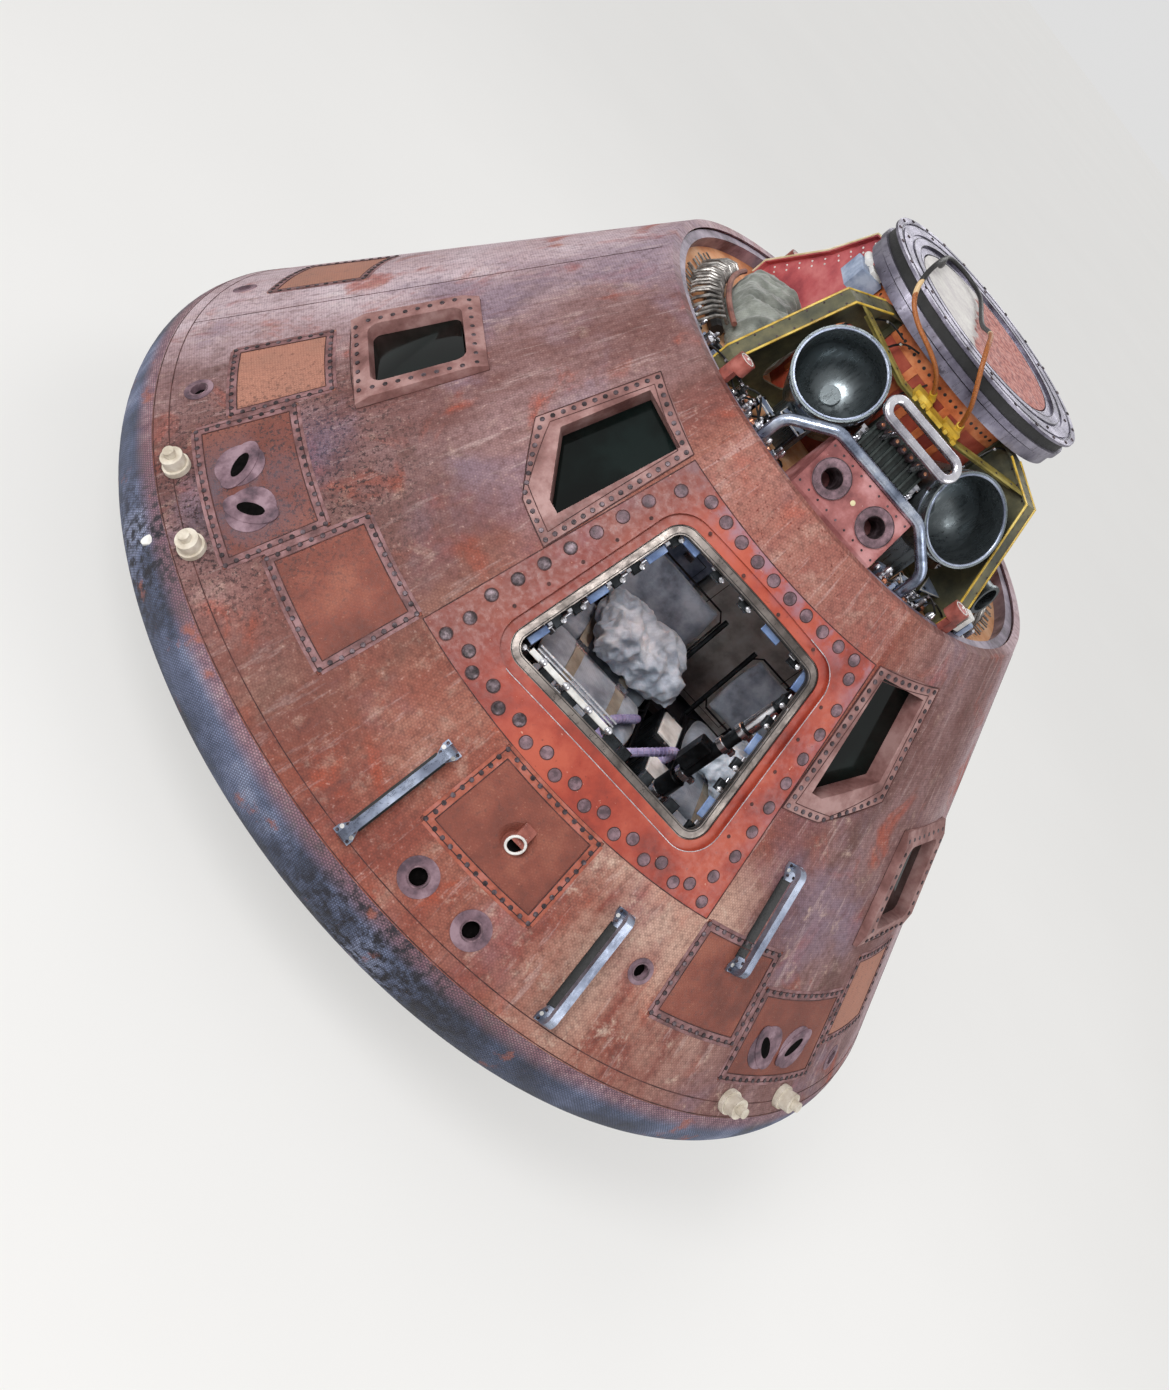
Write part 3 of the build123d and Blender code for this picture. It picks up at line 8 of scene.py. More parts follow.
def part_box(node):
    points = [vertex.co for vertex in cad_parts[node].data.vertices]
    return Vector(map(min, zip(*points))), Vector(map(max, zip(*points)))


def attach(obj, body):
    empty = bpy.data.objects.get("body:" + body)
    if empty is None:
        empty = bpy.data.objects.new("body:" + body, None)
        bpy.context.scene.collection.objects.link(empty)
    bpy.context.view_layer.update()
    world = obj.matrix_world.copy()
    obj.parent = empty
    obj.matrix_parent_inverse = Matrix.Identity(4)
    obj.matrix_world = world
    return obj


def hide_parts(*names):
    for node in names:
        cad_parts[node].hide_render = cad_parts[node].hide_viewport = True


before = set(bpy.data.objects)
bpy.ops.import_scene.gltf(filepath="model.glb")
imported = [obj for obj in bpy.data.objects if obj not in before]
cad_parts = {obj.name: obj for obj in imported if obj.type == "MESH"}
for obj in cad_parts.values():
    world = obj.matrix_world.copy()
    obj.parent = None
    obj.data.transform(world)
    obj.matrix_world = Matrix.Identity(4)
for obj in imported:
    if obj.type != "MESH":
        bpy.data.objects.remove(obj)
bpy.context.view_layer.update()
bpy.context.scene.view_settings.view_transform = "Standard"

# The cone of the hull, in metres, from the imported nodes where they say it
CONE_ANGLE = radians(33.0)
SEAM_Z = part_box("cone_panel_front")[0].z
SEAM_RADIUS = 1.93361
CONE_TOP_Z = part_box("forward_rim")[1].z
APEX_Z = SEAM_Z + SEAM_RADIUS / tan(CONE_ANGLE)
DECK_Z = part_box("forward_deck")[1].z
HATCH_LOW, HATCH_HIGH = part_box("hatch_frame")
HATCH_EDGE = 24.4           # azimuth of the hatch frame's sides, in degrees
DOOR_EDGE = 17.45           # azimuth of the opening's sides
DOOR_LOW_Z, DOOR_HIGH_Z = 1.29, 1.874

# The view
CAMERA_AT = Vector((-1.2538, -5.9577, 3.8184))
CAMERA_RIGHT = Vector((0.66682, 0.22203, 0.71138))
CAMERA_UP = Vector((-0.72083, 0.43437, 0.54011))
CAMERA_LENS = 44.69
CAMERA_SHIFT = -0.0324
LOOK_AT = Vector((0.0, 0.0, 1.2))
# Soft lamps: name, direction from the object, distance, width, watts
LAMPS = [
    ("key", (-0.52, -0.78, 0.62), 7.0, 3.0, 275.0),
    ("fill", (0.85, -0.6, 0.4), 7.0, 4.0, 135.0),
    ("back", (0.1, 0.8, 0.85), 7.0, 4.0, 130.0),
    ("low", (-0.85, -0.35, 0.05), 7.5, 3.0, 60.0),
]
# Lamps in the cabin: name, place, radius, watts
CABIN_LAMPS = [
    ("cabin_front", (-0.25, -0.8, 1.86), 0.08, 11.0),
    ("cabin_rear", (-0.1, 0.3, 1.8), 0.12, 2.0),
]
WORLD_LIGHT = 0.42
WORLD_PALE = 0.735
FLOOR_RADIUS = 60.0
FLOOR_SIDES = 96
FLOOR_PALE = 0.62           # share of a plain pale colour in what the camera sees of the floor
HONEYCOMB_PITCH = 0.0105    # cells of the ablator
SCORCHED = (-1.29, -1.22, 0.83)
SPECKLED = (-1.25, -1.15, 0.9)


def linked(name, data):
    """A new object of that data, in the scene."""
    made = bpy.data.objects.new(name, data)
    bpy.context.scene.collection.objects.link(made)
    return made


def linear(shade):
    """A shader colour from six hex digits, which give it as the eye names it."""
    shares = [int(shade[i:i + 2], 16) / 255 for i in (0, 2, 4)]
    return tuple(s / 12.92 if s < 0.04 else ((s + 0.055) / 1.055) ** 2.4 for s in shares) + (1.0,)


class Wire:
    """A value in a shader's graph. Arithmetic on it adds nodes."""

    def __init__(self, graph, socket):
        self.graph, self.socket = graph, socket

    def __add__(self, other):
        return self.graph.math("ADD", self, other)

    def __mul__(self, other):
        return self.graph.math("MULTIPLY", self, other)

    def __sub__(self, other):
        return self.graph.math("SUBTRACT", self, other)

    def __rsub__(self, other):
        return self.graph.math("SUBTRACT", other, self)

    def __truediv__(self, other):
        return self.graph.math("DIVIDE", self, other)

    def __abs__(self):
        return self.graph.math("ABSOLUTE", self)

    def spread(self, low, high, start=0.0, end=1.0):
        """The stretch of the value from low to high, smoothly laid on start to end."""
        inputs = {"Value": self, "From Min": low, "From Max": high, "To Min": start, "To Max": end}
        return self.graph.wire("MapRange", inputs, interpolation_type="SMOOTHSTEP")


class Graph:
    """The shader graph of a material or a world."""

    def __init__(self, owner):
        owner.use_nodes = True
        self.tree = owner.node_tree

    def wire(self, kind, inputs=None, out=0, **settings):
        """An output of a new node. Wires are linked to its inputs, and other values set."""
        made = self.tree.nodes.new("ShaderNode" + kind)
        for name, value in settings.items():
            setattr(made, name, value)
        for key, value in (inputs or {}).items():
            self.put(value, made.inputs[key])
        return Wire(self, made.outputs[out])

    def put(self, value, socket):
        """Link a wire to an input, or set the input's value."""
        if isinstance(value, Wire):
            self.tree.links.new(value.socket, socket)
        else:
            socket.default_value = value

    def math(self, operation, *values):
        return self.wire("Math", dict(enumerate(values)), operation=operation)

    def end(self, share, first, second, name):
        """Blend two shaders by a share into the output node of that name."""
        blend = self.wire("MixShader", {0: share, 1: first, 2: second})
        self.put(blend, self.tree.nodes[name].inputs["Surface"])


class Finish(Graph):
    """A material whose texture space is the frame itself, in metres, painted coat by coat."""

    def __init__(self, name, roughness=0.6, metallic=0.0, **sockets):
        self.material = bpy.data.materials.new(name)
        super().__init__(self.material)
        self.shader = self.tree.nodes["Principled BSDF"]
        for socket, value in dict(sockets, Roughness=roughness, Metallic=metallic).items():
            self.shader.inputs[socket.replace("_", " ")].default_value = value
        self.place = self.wire("TexCoord", out="Object")

    def xyz(self):
        """The three coordinates of the place."""
        first = self.wire("SeparateXYZ", {0: self.place})
        return [Wire(self, socket) for socket in first.socket.node.outputs]

    def join(self, x, y, z):
        return self.wire("CombineXYZ", {0: x, 1: y, 2: z})

    def noise(self, scale, detail, roughness, distortion=0.0, place=None):
        inputs = {"Vector": place or self.place, "Scale": scale, "Detail": detail,
                  "Roughness": roughness, "Distortion": distortion}
        return self.wire("TexNoise", inputs)

    def cells(self, scale):
        return self.wire("TexVoronoi", {"Vector": self.place, "Scale": scale}, "Distance")

    def near(self, centre, inner, outer):
        """1 within inner of a point, fading to 0 at outer."""
        apart = self.wire("VectorMath", {0: self.place, 1: centre}, "Value", operation="DISTANCE")
        return apart.spread(inner, outer, 1.0, 0.0)

    def ramp(self, value, places, shades):
        """Colours along a value: shades in hex, each at its place."""
        made = self.wire("ValToRGB", {"Fac": value})
        elements = made.socket.node.color_ramp.elements
        elements.remove(elements[1])
        stops = list(zip(places, shades.split()))
        elements[0].position = stops[0][0]
        elements[0].color = linear(stops[0][1])
        for place, shade in stops[1:]:
            elements.new(place).color = linear(shade)
        return made

    def base(self, value, places, shades):
        """The first colours, along a value."""
        self.paint = self.ramp(value, places, shades)

    def coat(self, share, shade):
        """A share of another colour over the paint: a wire, or six hex digits."""
        over = linear(shade) if isinstance(shade, str) else shade
        self.paint = self.wire("Mix", {0: share, 6: self.paint, 7: over}, 2, data_type="RGBA")

    def done(self, rough, *relief):
        """The material, with roughness (value, low, high) and reliefs (height, depth, strength)."""
        self.put(self.paint, self.shader.inputs["Base Color"])
        if rough:
            value, low, high = rough
            self.put(value.spread(0.3, 0.7, low, high), self.shader.inputs["Roughness"])
        under = {}
        for height, depth, strength in relief:
            inputs = {"Height": height, "Distance": depth, "Strength": strength, **under}
            under = {"Normal": self.wire("Bump", inputs)}
        if under:
            self.put(under["Normal"], self.shader.inputs["Normal"])
        return self.material


def make_camera():
    """The camera at the photograph's place, rolled as the photograph is."""
    data = bpy.data.cameras.new("camera")
    data.lens = CAMERA_LENS
    data.shift_y = CAMERA_SHIFT
    camera = linked("camera", data)
    axes = Matrix((CAMERA_RIGHT, CAMERA_UP, CAMERA_RIGHT.cross(CAMERA_UP))).transposed()
    camera.matrix_world = Matrix.Translation(CAMERA_AT) @ axes.to_4x4()
    bpy.context.scene.camera = camera


def make_lamp(name, kind, place, watts, **settings):
    """A lamp of that kind with those settings of its own."""
    data = bpy.data.lights.new(name, kind)
    for key, value in dict(settings, energy=watts).items():
        setattr(data, key, value)
    lamp = linked(name, data)
    lamp.location = place
    return lamp


def make_light():
    """Soft lamps and a pale world that cameras, metal and glass see as it is."""
    for name, direction, distance, width, watts in LAMPS:
        towards = Vector(direction).normalized()
        lamp = make_lamp(name, "AREA", LOOK_AT + towards * distance, watts, shape="DISK", size=width)
        lamp.rotation_euler = towards.to_track_quat("Z", "Y").to_euler()
    for name, place, radius, watts in CABIN_LAMPS:
        lamp = make_lamp(name, "POINT", place, watts, shadow_soft_size=radius)
        lamp.visible_camera = False
        lamp.visible_glossy = False
    world = bpy.data.worlds.new("pale_room")
    bpy.context.scene.world = world
    graph = Graph(world)
    lit = graph.tree.nodes["Background"]
    graph.put((1.0, 1.0, 1.0, 1.0), lit.inputs["Color"])
    graph.put(WORLD_LIGHT, lit.inputs["Strength"])
    pale = graph.wire("Background", {"Color": (WORLD_PALE, WORLD_PALE, WORLD_PALE, 1.0), "Strength": 1.0})
    seen = graph.wire("LightPath", out="Is Camera Ray")
    rays = seen.socket.node.outputs
    for ray in ("Is Glossy Ray", "Is Transmission Ray"):
        seen = graph.math("MAXIMUM", seen, Wire(graph, rays[ray]))
    graph.end(seen, Wire(graph, lit.outputs[0]), pale, "World Output")


def round_the_hull(finish):
    """Azimuth in radians, height, a place without seam for streaks, and the cell pattern."""
    x, y, z = finish.xyz()
    reach = finish.math("SQRT", finish.math("POWER", x, 2.0) + finish.math("POWER", y, 2.0))
    azimuth = finish.math("ARCTAN2", x, y * -1.0)
    turn = azimuth * sin(CONE_ANGLE)
    slant = (APEX_Z - z) / cos(CONE_ANGLE)
    across = slant * finish.math("SINE", turn)
    along = slant * finish.math("COSINE", turn)
    wave = 2 * pi / (HONEYCOMB_PITCH * sin(radians(60)))
    ways = [(cos(radians(angle)) * wave, sin(radians(angle)) * wave) for angle in (0, 120, 240)]
    first, second, third = (finish.math("COSINE", across * side + along * up) for side, up in ways)
    comb = (first + second + third).spread(-1.2, 1.6)
    return azimuth, z, finish.join(x / reach, y / reach, z * 0.1), comb


def speckle(finish, centre, inner, outer, amount, dark="2c2224"):
    """Fine dark spots scattered round a point."""
    low = 0.62 - 0.1 * amount
    spots = finish.noise(70.0, 6.0, 0.75).spread(low, low + 0.06)
    finish.coat(spots * finish.near(centre, inner, outer), dark)


def ablator(name, pale=0.5, tint=None):
    """Weathered ablator: streaks down the generators, blotches, honeycomb and speckle, with painted shade
    left of the hatch and a painted pool of light low on the front right.
    """
    finish = Finish(name, 0.78, Specular_IOR_Level=0.35)
    azimuth, _, streaked, comb = round_the_hull(finish)
    fine = finish.noise(26.0, 6.0, 0.65, place=streaked)
    streaks = finish.noise(5.0, 5.0, 0.6, place=streaked) * 0.55 + fine * 0.45
    mottle = streaks * 0.6 + finish.noise(3.1, 7.0, 0.62) * 0.4
    steps = (0.36, 0.44, 0.51, 0.58, 0.66)
    side = finish.ramp(mottle, steps, "523432 744e4a 866462 967676 ac908a")
    far = finish.ramp(mottle, (0.36, 0.46, 0.56, 0.66), "a08488 c8aeb4 dcc8d0 eadee2")
    finish.base(mottle, steps, "60322a 8c483a 9a5e4e a87464 be9684")
    turned = abs(azimuth).spread(radians(20), radians(44))
    finish.coat(turned, side)
    finish.coat(abs(azimuth).spread(radians(58), radians(84)), far)
    finish.coat(finish.noise(4.2, 6.0, 0.6, 0.6).spread(0.54, 0.7, 0.0, 0.75), "ac5038")
    finish.coat(finish.noise(2.6, 7.0, 0.66, 0.4).spread(0.56, 0.7, 0.0, 0.62), "563a32")
    violet = finish.noise(1.7, 5.0, 0.6, 0.3).spread(0.5, 0.66)
    finish.coat(violet * turned.spread(0.0, 1.0, 0.25, 0.7), "8c7a8c")
    lines = finish.noise(44.0, 5.0, 0.7, 0.2, streaked)
    finish.coat(lines.spread(0.55, 0.68, 0.0, 0.42), "ccb4b0")
    finish.coat(lines.spread(0.32, 0.44, 0.4, 0.0), "683e38")
    # Two darker patches left of the hatch: painted shade.
    painted_shade_spots = [finish.near((-0.86, -1.36, 1.2), 0.15, 0.55), finish.near((-0.78, -1.68, 0.8), 0.08, 0.42)]
    finish.coat(finish.math("MAXIMUM", *painted_shade_spots) * 0.46, "583c36")
    # A pale patch round a point low on the front right, broken up by the mottle: a painted pool of light.
    painted_light_patch = finish.near((0.62, -1.52, 1.0), 0.1, 0.66) * mottle.spread(0.42, 0.56)
    finish.coat(painted_light_patch * 0.72, "d6b2a0")
    cream = finish.noise(11.0, 8.0, 0.72, 0.3).spread(0.58 - 0.1 * pale, 0.76 - 0.1 * pale)
    wear_and_highlight = finish.near((0.75, -1.45, 1.05), 0.25, 1.05) * 0.6 + 0.32
    finish.coat(cream * wear_and_highlight, "d8bcaa")
    if tint:
        finish.coat(0.22, tint)
    speckle(finish, SPECKLED, 0.25, 0.75, 1.0)
    speckle(finish, (-0.15, -0.85, 2.0), 0.15, 0.75, 0.35, "6e2c22")
    burnt = finish.noise(9.0, 6.0, 0.7).spread(0.36, 0.62)
    finish.coat(finish.near(SCORCHED, 0.02, 0.34) * burnt, "2c262e")
    finish.coat(finish.near((-1.22, -1.02, 1.02), 0.02, 0.24) * 0.62, "5c526a")
    dirt = finish.noise(55.0, 5.0, 0.7)
    finish.coat(dirt.spread(0.34, 0.54, 0.42, 0.0), "422624")
    finish.coat(dirt.spread(0.58, 0.7, 0.0, 0.34), "d6b4a8")
    finish.coat(comb.spread(0.25, 0.75, 0.24, 0.0), "4e2a28")
    return finish.done((fine, 0.62, 0.86), (comb, 0.0012, 0.5), (finish.noise(38.0, 6.0, 0.7), 0.004, 0.5))


def aft_ablator():
    """Grey-blue ablator of the aft shield, pinkish by the seam and charred underneath."""
    finish = Finish("aft_ablator", 0.7, Specular_IOR_Level=0.4)
    _, height, _, comb = round_the_hull(finish)
    cloud = finish.noise(3.4, 7.0, 0.62)
    grain = finish.noise(30.0, 6.0, 0.7)
    finish.base(cloud, (0.34, 0.46, 0.56, 0.68), "2c303e 525c76 747e9c a4acc8")
    pink = finish.ramp(grain, (0.35, 0.55, 0.7), "80525c b0848a ceb0b0")
    finish.coat(height.spread(SEAM_Z - 0.075, SEAM_Z - 0.012) * 0.85, pink)
    finish.coat(height.spread(0.46, 0.26), "463a38")
    for charred in (((-0.05, -1.95, 0.5), 0.1, 0.75), ((-1.36, -1.36, 0.56), 0.04, 0.55)):
        finish.coat(finish.near(*charred) * grain.spread(0.4, 0.6), "1e1c22")
    finish.coat(comb.spread(0.3, 0.8, 0.55, 0.0), "22202c")
    finish.coat(finish.noise(7.0, 6.0, 0.65).spread(0.6, 0.7, 0.0, 0.7), "9e5c4a")
    return finish.done((cloud, 0.48, 0.78), (comb, 0.0025, 0.8), (grain, 0.003, 0.4))


def painted(name, shades, roughness=0.5, scale=8.0, chips=0.68, grain=0.0006):
    """Old paint or primer: three shades of it, chips in a fourth, and the orange peel of the brush."""
    finish = Finish(name, roughness)
    fine = finish.noise(scale * 9, 6.0, 0.7)
    finish.base(finish.noise(scale, 6.0, 0.6), (0.36, 0.5, 0.64), shades)
    finish.coat(fine.spread(chips, chips + 0.05, 0.0, 0.85), shades.split()[3])
    return finish.done((fine, max(roughness - 0.12, 0.05), min(roughness + 0.15, 1.0)), (fine, grain, 0.8))


def metal(name, shades, roughness=0.35, scale=9.0, metallic=1.0):
    """Bare metal that has been handled: clouds, fine scratches and, if it has a fourth shade, stains."""
    finish = Finish(name, roughness, metallic)
    x, y, z = finish.xyz()
    drawn = finish.noise(60.0, 4.0, 0.7, place=finish.join(x, y, z * 0.12))
    finish.base(finish.noise(scale, 5.0, 0.6), (0.36, 0.5, 0.66), shades)
    for stain in shades.split()[3:]:
        finish.coat(finish.noise(scale * 4, 6.0, 0.7).spread(0.58, 0.68, 0.0, 0.8), stain)
    return finish.done((drawn, max(roughness - 0.12, 0.05), roughness + 0.18), (drawn, 0.0003, 0.4))


def red_frame():
    """Red coating of the hatch frame, greyed with lilac towards its edges, scratched bright, and darker on
    its left side as painted shade.
    """
    finish = Finish("red_frame", 0.5)
    azimuth, height, _, _ = round_the_hull(finish)
    cloud = finish.noise(5.0, 7.0, 0.62)
    fine = finish.noise(42.0, 6.0, 0.7)
    finish.base(cloud, (0.34, 0.48, 0.62), "76281e 9c3a28 b0503a")
    edge = abs(azimuth).spread(radians(19.5), radians(24.4)) * height.spread(1.25, 1.75, 0.15, 0.6)
    rim = finish.math("MAXIMUM", edge, height.spread(1.88, 1.98))
    finish.coat(rim * finish.noise(12.0, 5.0, 0.6).spread(0.4, 0.62), "96707c")
    # Darker towards the frame's left side: painted shade.
    left = azimuth.spread(radians(-9), radians(-23), 0.0, 0.72)
    finish.coat(left * cloud.spread(0.28, 0.5), "5c2c24")
    finish.coat(fine.spread(0.66, 0.72, 0.0, 0.7), "d6aa96")
    finish.coat(fine.spread(0.3, 0.38, 0.6, 0.0), "5c2822")
    return finish.done((fine, 0.38, 0.66), (fine, 0.0012, 0.6))


def inset_panel():
    """Orange-brown cork-like cover of the inset panels."""
    finish = Finish("inset_panel", 0.7)
    azimuth, _, _, comb = round_the_hull(finish)
    cloud = finish.noise(6.0, 6.0, 0.6)
    fine = finish.noise(60.0, 6.0, 0.75)
    finish.base(cloud, (0.34, 0.5, 0.66), "66342a 824436 965846")
    pale = abs(azimuth).spread(radians(54), radians(60))
    finish.coat(pale * 0.55, "ca9680")
    behind = abs(azimuth).spread(radians(26), radians(56), 0.0, 0.45)
    finish.coat(behind * (1.0 - pale), "6c3e36")
    finish.coat(fine.spread(0.34, 0.46, 0.6, 0.0), "542e26")
    finish.coat(fine.spread(0.58, 0.7, 0.0, 0.3), "ce9e8a")
    speckle(finish, SPECKLED, 0.1, 0.65, 1.0)
    finish.coat(finish.near(SCORCHED, 0.02, 0.36) * cloud.spread(0.35, 0.6), "544c58")
    finish.coat(comb.spread(0.25, 0.75, 0.22, 0.0), "683428")
    return finish.done((fine, 0.6, 0.82), (comb, 0.001, 0.4), (fine, 0.0015, 0.4))


def cable_sheath():
    """Orange-brown sheath, black round the far side of the loop, with a pale whipping between."""
    finish = Finish("cable_sheath", 0.5)
    x, y, _ = finish.xyz()
    along = y - x * 0.381
    weave = finish.cells(260.0)
    finish.base(weave, (0.0, 0.6, 1.0), "b0682c 925222 683a1c")
    finish.coat(along.spread(-0.306, -0.3), finish.ramp(weave, (0.0, 1.0), "222020 100f0f"))
    finish.coat(along.spread(-0.332, -0.329) * along.spread(-0.3, -0.303), "ceb084")
    return finish.done((weave, 0.42, 0.62), (weave, 0.0012, 0.6))


def window_glass():
    """Thick panes with dust on them, opaque and nearly black: the dark of the cabin behind the glass is
    painted in as shade.
    """
    finish = Finish("window_glass", 0.06, Specular_IOR_Level=0.22)
    cloud = finish.noise(4.0, 4.0, 0.6)
    dust = finish.noise(120.0, 5.0, 0.7)
    # Nearly black panes: painted shade of the cabin behind the glass.
    finish.base(cloud, (0.4, 0.55, 0.66), "020605 030c0a 061412")
    finish.coat(dust.spread(0.66, 0.74, 0.0, 0.12), "545650")
    return finish.done((cloud, 0.03, 0.16), (dust, 0.0001, 0.3))


def forward_hatch_cover():
    """Hatch face split down its middle: a white half that is a painted highlight, and a pink half, mottled
    in foam cells, that is painted shade.
    """
    finish = Finish("forward_hatch_cover", 0.75)
    foam = finish.cells(60.0)
    cloud = finish.noise(14.0, 6.0, 0.7)
    finish.base(cloud, (0.35, 0.55, 0.7), "c4bebe e2deda f0eee8")
    # Pink half past the middle: painted shade; the white half is a painted highlight.
    pink = finish.ramp(foam, (0.1, 0.45, 0.8), "ce968a be766c 8a4e4a")
    finish.coat((finish.xyz()[0] + cloud * 0.12).spread(0.0, 0.02), pink)
    return finish.done((cloud, 0.6, 0.85), (foam, 0.004, 0.5))


def soot_and_shade():
    """Charred throat that gives back almost no light: char, and painted shade of the deep bore."""
    finish = Finish("soot_and_shade", 0.95, Specular_IOR_Level=0.05)
    cloud = finish.noise(60.0, 5.0, 0.7)
    finish.base(cloud, (0.35, 0.6, 0.75), "060505 0e0c0c 1e1a1a")
    return finish.done(None, (cloud, 0.001, 0.6))


def fabric(name, shades, weave=900.0, sheen=0.4, roughness=0.85):
    """Woven cloth: threads both ways, folds picked out by soft clouds."""
    finish = Finish(name, roughness, Sheen_Weight=sheen, Sheen_Roughness=0.5)
    x, y, z = finish.xyz()
    warp, weft = (finish.math("SINE", way * weave) for way in (x + y, y + z))
    thread = (warp * weft).spread(-1.0, 1.0)
    cloud = finish.noise(9.0, 6.0, 0.6)
    finish.base(cloud, (0.36, 0.5, 0.66), shades)
    finish.coat(thread.spread(0.2, 0.8, 0.16, 0.0), shades.split()[0])
    return finish.done((cloud, roughness - 0.08, min(roughness + 0.08, 1.0)), (thread, 0.0004, 0.6),
                       (finish.noise(22.0, 4.0, 0.6), 0.008, 0.5))


# Painted looks: material; shades dark, middle, light and of the chips; roughness; how many clouds to
# the metre; where chips begin; depth of the grain
PAINTED = {
    "liner": ("nozzle_liner", "4a3842 745a64 947a84 3a3036", 0.7, 14.0),
    "window_frame": ("window_frame", "68423e 88605c a6827e 463030", 0.6, 9.0),
    "cabin": ("cabin_metal", "3a3e44 545a62 70767e 24262a", 0.6, 6.0),
    "deck": ("deck_insulation", "c48054 dea070 eaba92 784630", 0.75, 7.0),
    "rim": ("rim_metal", "5c505c 867a8a aa9eac 3a2e34", 0.5, 10.0),
    "tunnel": ("tunnel_paint", "7c2c20 a0422e b45c42 ceb296", 0.55, 9.0, 0.7),
    "engine_box": ("engine_box_paint", "743e3e 9c5e5c bc8686 e0ccc8", 0.6, 9.0),
    "fins": ("fin_metal", "121816 202826 343c3a 787c7a", 0.42, 16.0, 0.7),
    "gusset_front": ("gusset_front", "383a2e 54523c 706a4c b0a460", 0.5, 8.0, 0.72),
    "gusset_rear": ("gusset_rear", "964048 ba585c cc7878 e2c4aa", 0.55, 8.0, 0.72),
    "beam": ("beam_paint", "5c5226 887a3a a69854 46423a", 0.48, 9.0, 0.69),
    "peg": ("peg_white", "b8ac9a cec4b4 ded6c8 967458", 0.6, 18.0, 0.66, 0.0001),
    "scoop": ("scoop_orange", "68322a 8e4e42 ac7468 e6d6ca", 0.45, 14.0, 0.62),
    "console": ("console_grey", "3c4248 5c626a 767e86 1e2022", 0.5, 7.0),
    "cap": ("cap_paint", "68302a 8e463c a66056 e2d0c8", 0.5, 14.0, 0.7),
    "yellow": ("yellow_metal", "a07e22 cca838 e2c660 60543c", 0.42, 12.0, 0.7),
    "plug": ("plug_lilac", "46343a 685058 8a6e76 241e20", 0.6, 30.0, 0.6),
    "border": ("border_strip", "5c3c3c 7c5656 947072 3c2c2e", 0.66, 18.0, 0.64),
    "border_warm": ("border_warm", "803e2e a05440 ac685c 3e2c2c", 0.66, 18.0, 0.64),
    "seam": ("seam_shadow", "2c1616 422220 5c3430 1c1010", 0.8, 20.0),
    "blue_grey": ("blue_grey", "687690 8e9cb6 b0bcd0 e2e4e8", 0.45, 14.0),
    "white": ("white_paint", "c4c2be e2e0dc f0f0ee 786e68", 0.5, 14.0, 0.7),
    "orange": ("orange_strap", "a8542c c66c3c d68858 783c28", 0.55, 14.0),
    "cream": ("cream_edge", "c4b68c dcd0a8 ece4c6 8c6e54", 0.5, 14.0),
    "pink": ("pink_disc", "a86868 c88886 dca6a2 f0e2dc", 0.5, 16.0),
    "brown": ("brown_edging", "603a34 805046 96685c 3c2826", 0.6, 16.0),
    "lilac": ("lilac_hose", "70688e 928ab0 b0aacc 5a546e", 0.5, 14.0),
    "tag_blue": ("blue_tags", "546a94 748cb8 96aace bec4ce", 0.45, 14.0),
    # Black rubber, and the black of painted shade where this look stands for shadow.
    "rubber": ("black_rubber_and_shade", "080809 0e0e0f 18181a 2c2a2a", 0.5, 20.0),
}
# Metal looks: material; shades dark, middle, light and of the stains; roughness; clouds; metallic share
METALS = {
    "seal": ("seal_metal", "46403c 6c6460 8e8680", 0.36, 8.0, 0.7),
    "ring": ("ring_metal", "585462 827e8e aca8b6 423e4a", 0.36, 7.0, 0.75),
    "tube": ("tube_metal", "687082 96a0b4 ced4e0", 0.24, 10.0, 0.95),
    "handhold": ("handhold_metal", "9e9ca6 cccad2 ececf0", 0.18, 8.0, 0.95),
    "mortar": ("mortar_metal", "545a5c 6c7376 868c90", 0.3, 2.0, 0.85),
    "rail": ("rail_metal", "606676 828a9c a8b0c2", 0.32, 7.0, 0.8),
    "dark": ("dark_metal", "121416 222528 3a3e42", 0.34, 12.0, 0.7),
    "bolt_dark": ("bolt_dark", "221a1c 403438 6c5e64", 0.5, 40.0, 0.5),
    "chrome": ("bright_metal", "b0b0b6 ccccd2 e6e6eb", 0.22, 14.0, 0.95),
    "copper": ("copper_fittings", "784834 a86c52 ce9678", 0.35, 16.0, 0.8),
    "clip": ("clip_metal", "54504e 807c78 b8b4b0 342e2c", 0.36, 30.0, 0.7),
}
# Cloth looks: material; shades; threads; sheen; roughness
CLOTHS = {
    "couch": ("couch_fabric", "68707c 8e98a6 b0bac6"),
    "canvas": ("canvas", "545852 7c8078 a2a69e", 700.0),
    "blanket": ("blanket", "8896a6 b8c6d4 dce6f0", 500.0, 0.5, 0.6),
    "strap": ("couch_strap", "686258 8a8274 a8a092", 1400.0, 0.2, 0.8),
}
LOOKS = {
    "ablator_front": ablator("ablator_front", 0.65),
    # The brow is paler and pinker: its own cream patches, and a painted highlight across it.
    "ablator_brow": ablator("ablator_brow", 0.75, "be8a84"),
    "ablator_side": ablator("ablator_side", 0.3),
    "ablator_rear": ablator("ablator_rear", 0.45),
    "aft": aft_ablator(),
    "red_frame": red_frame(),
    "inset": inset_panel(),
    "cable": cable_sheath(),
    "glass": window_glass(),
    "hatch_face": forward_hatch_cover(),
    "soot_and_shade": soot_and_shade(),
    **{look: painted(*row) for look, row in PAINTED.items()},
    **{look: metal(*row) for look, row in METALS.items()},
    **{look: fabric(*row) for look, row in CLOTHS.items()},
}

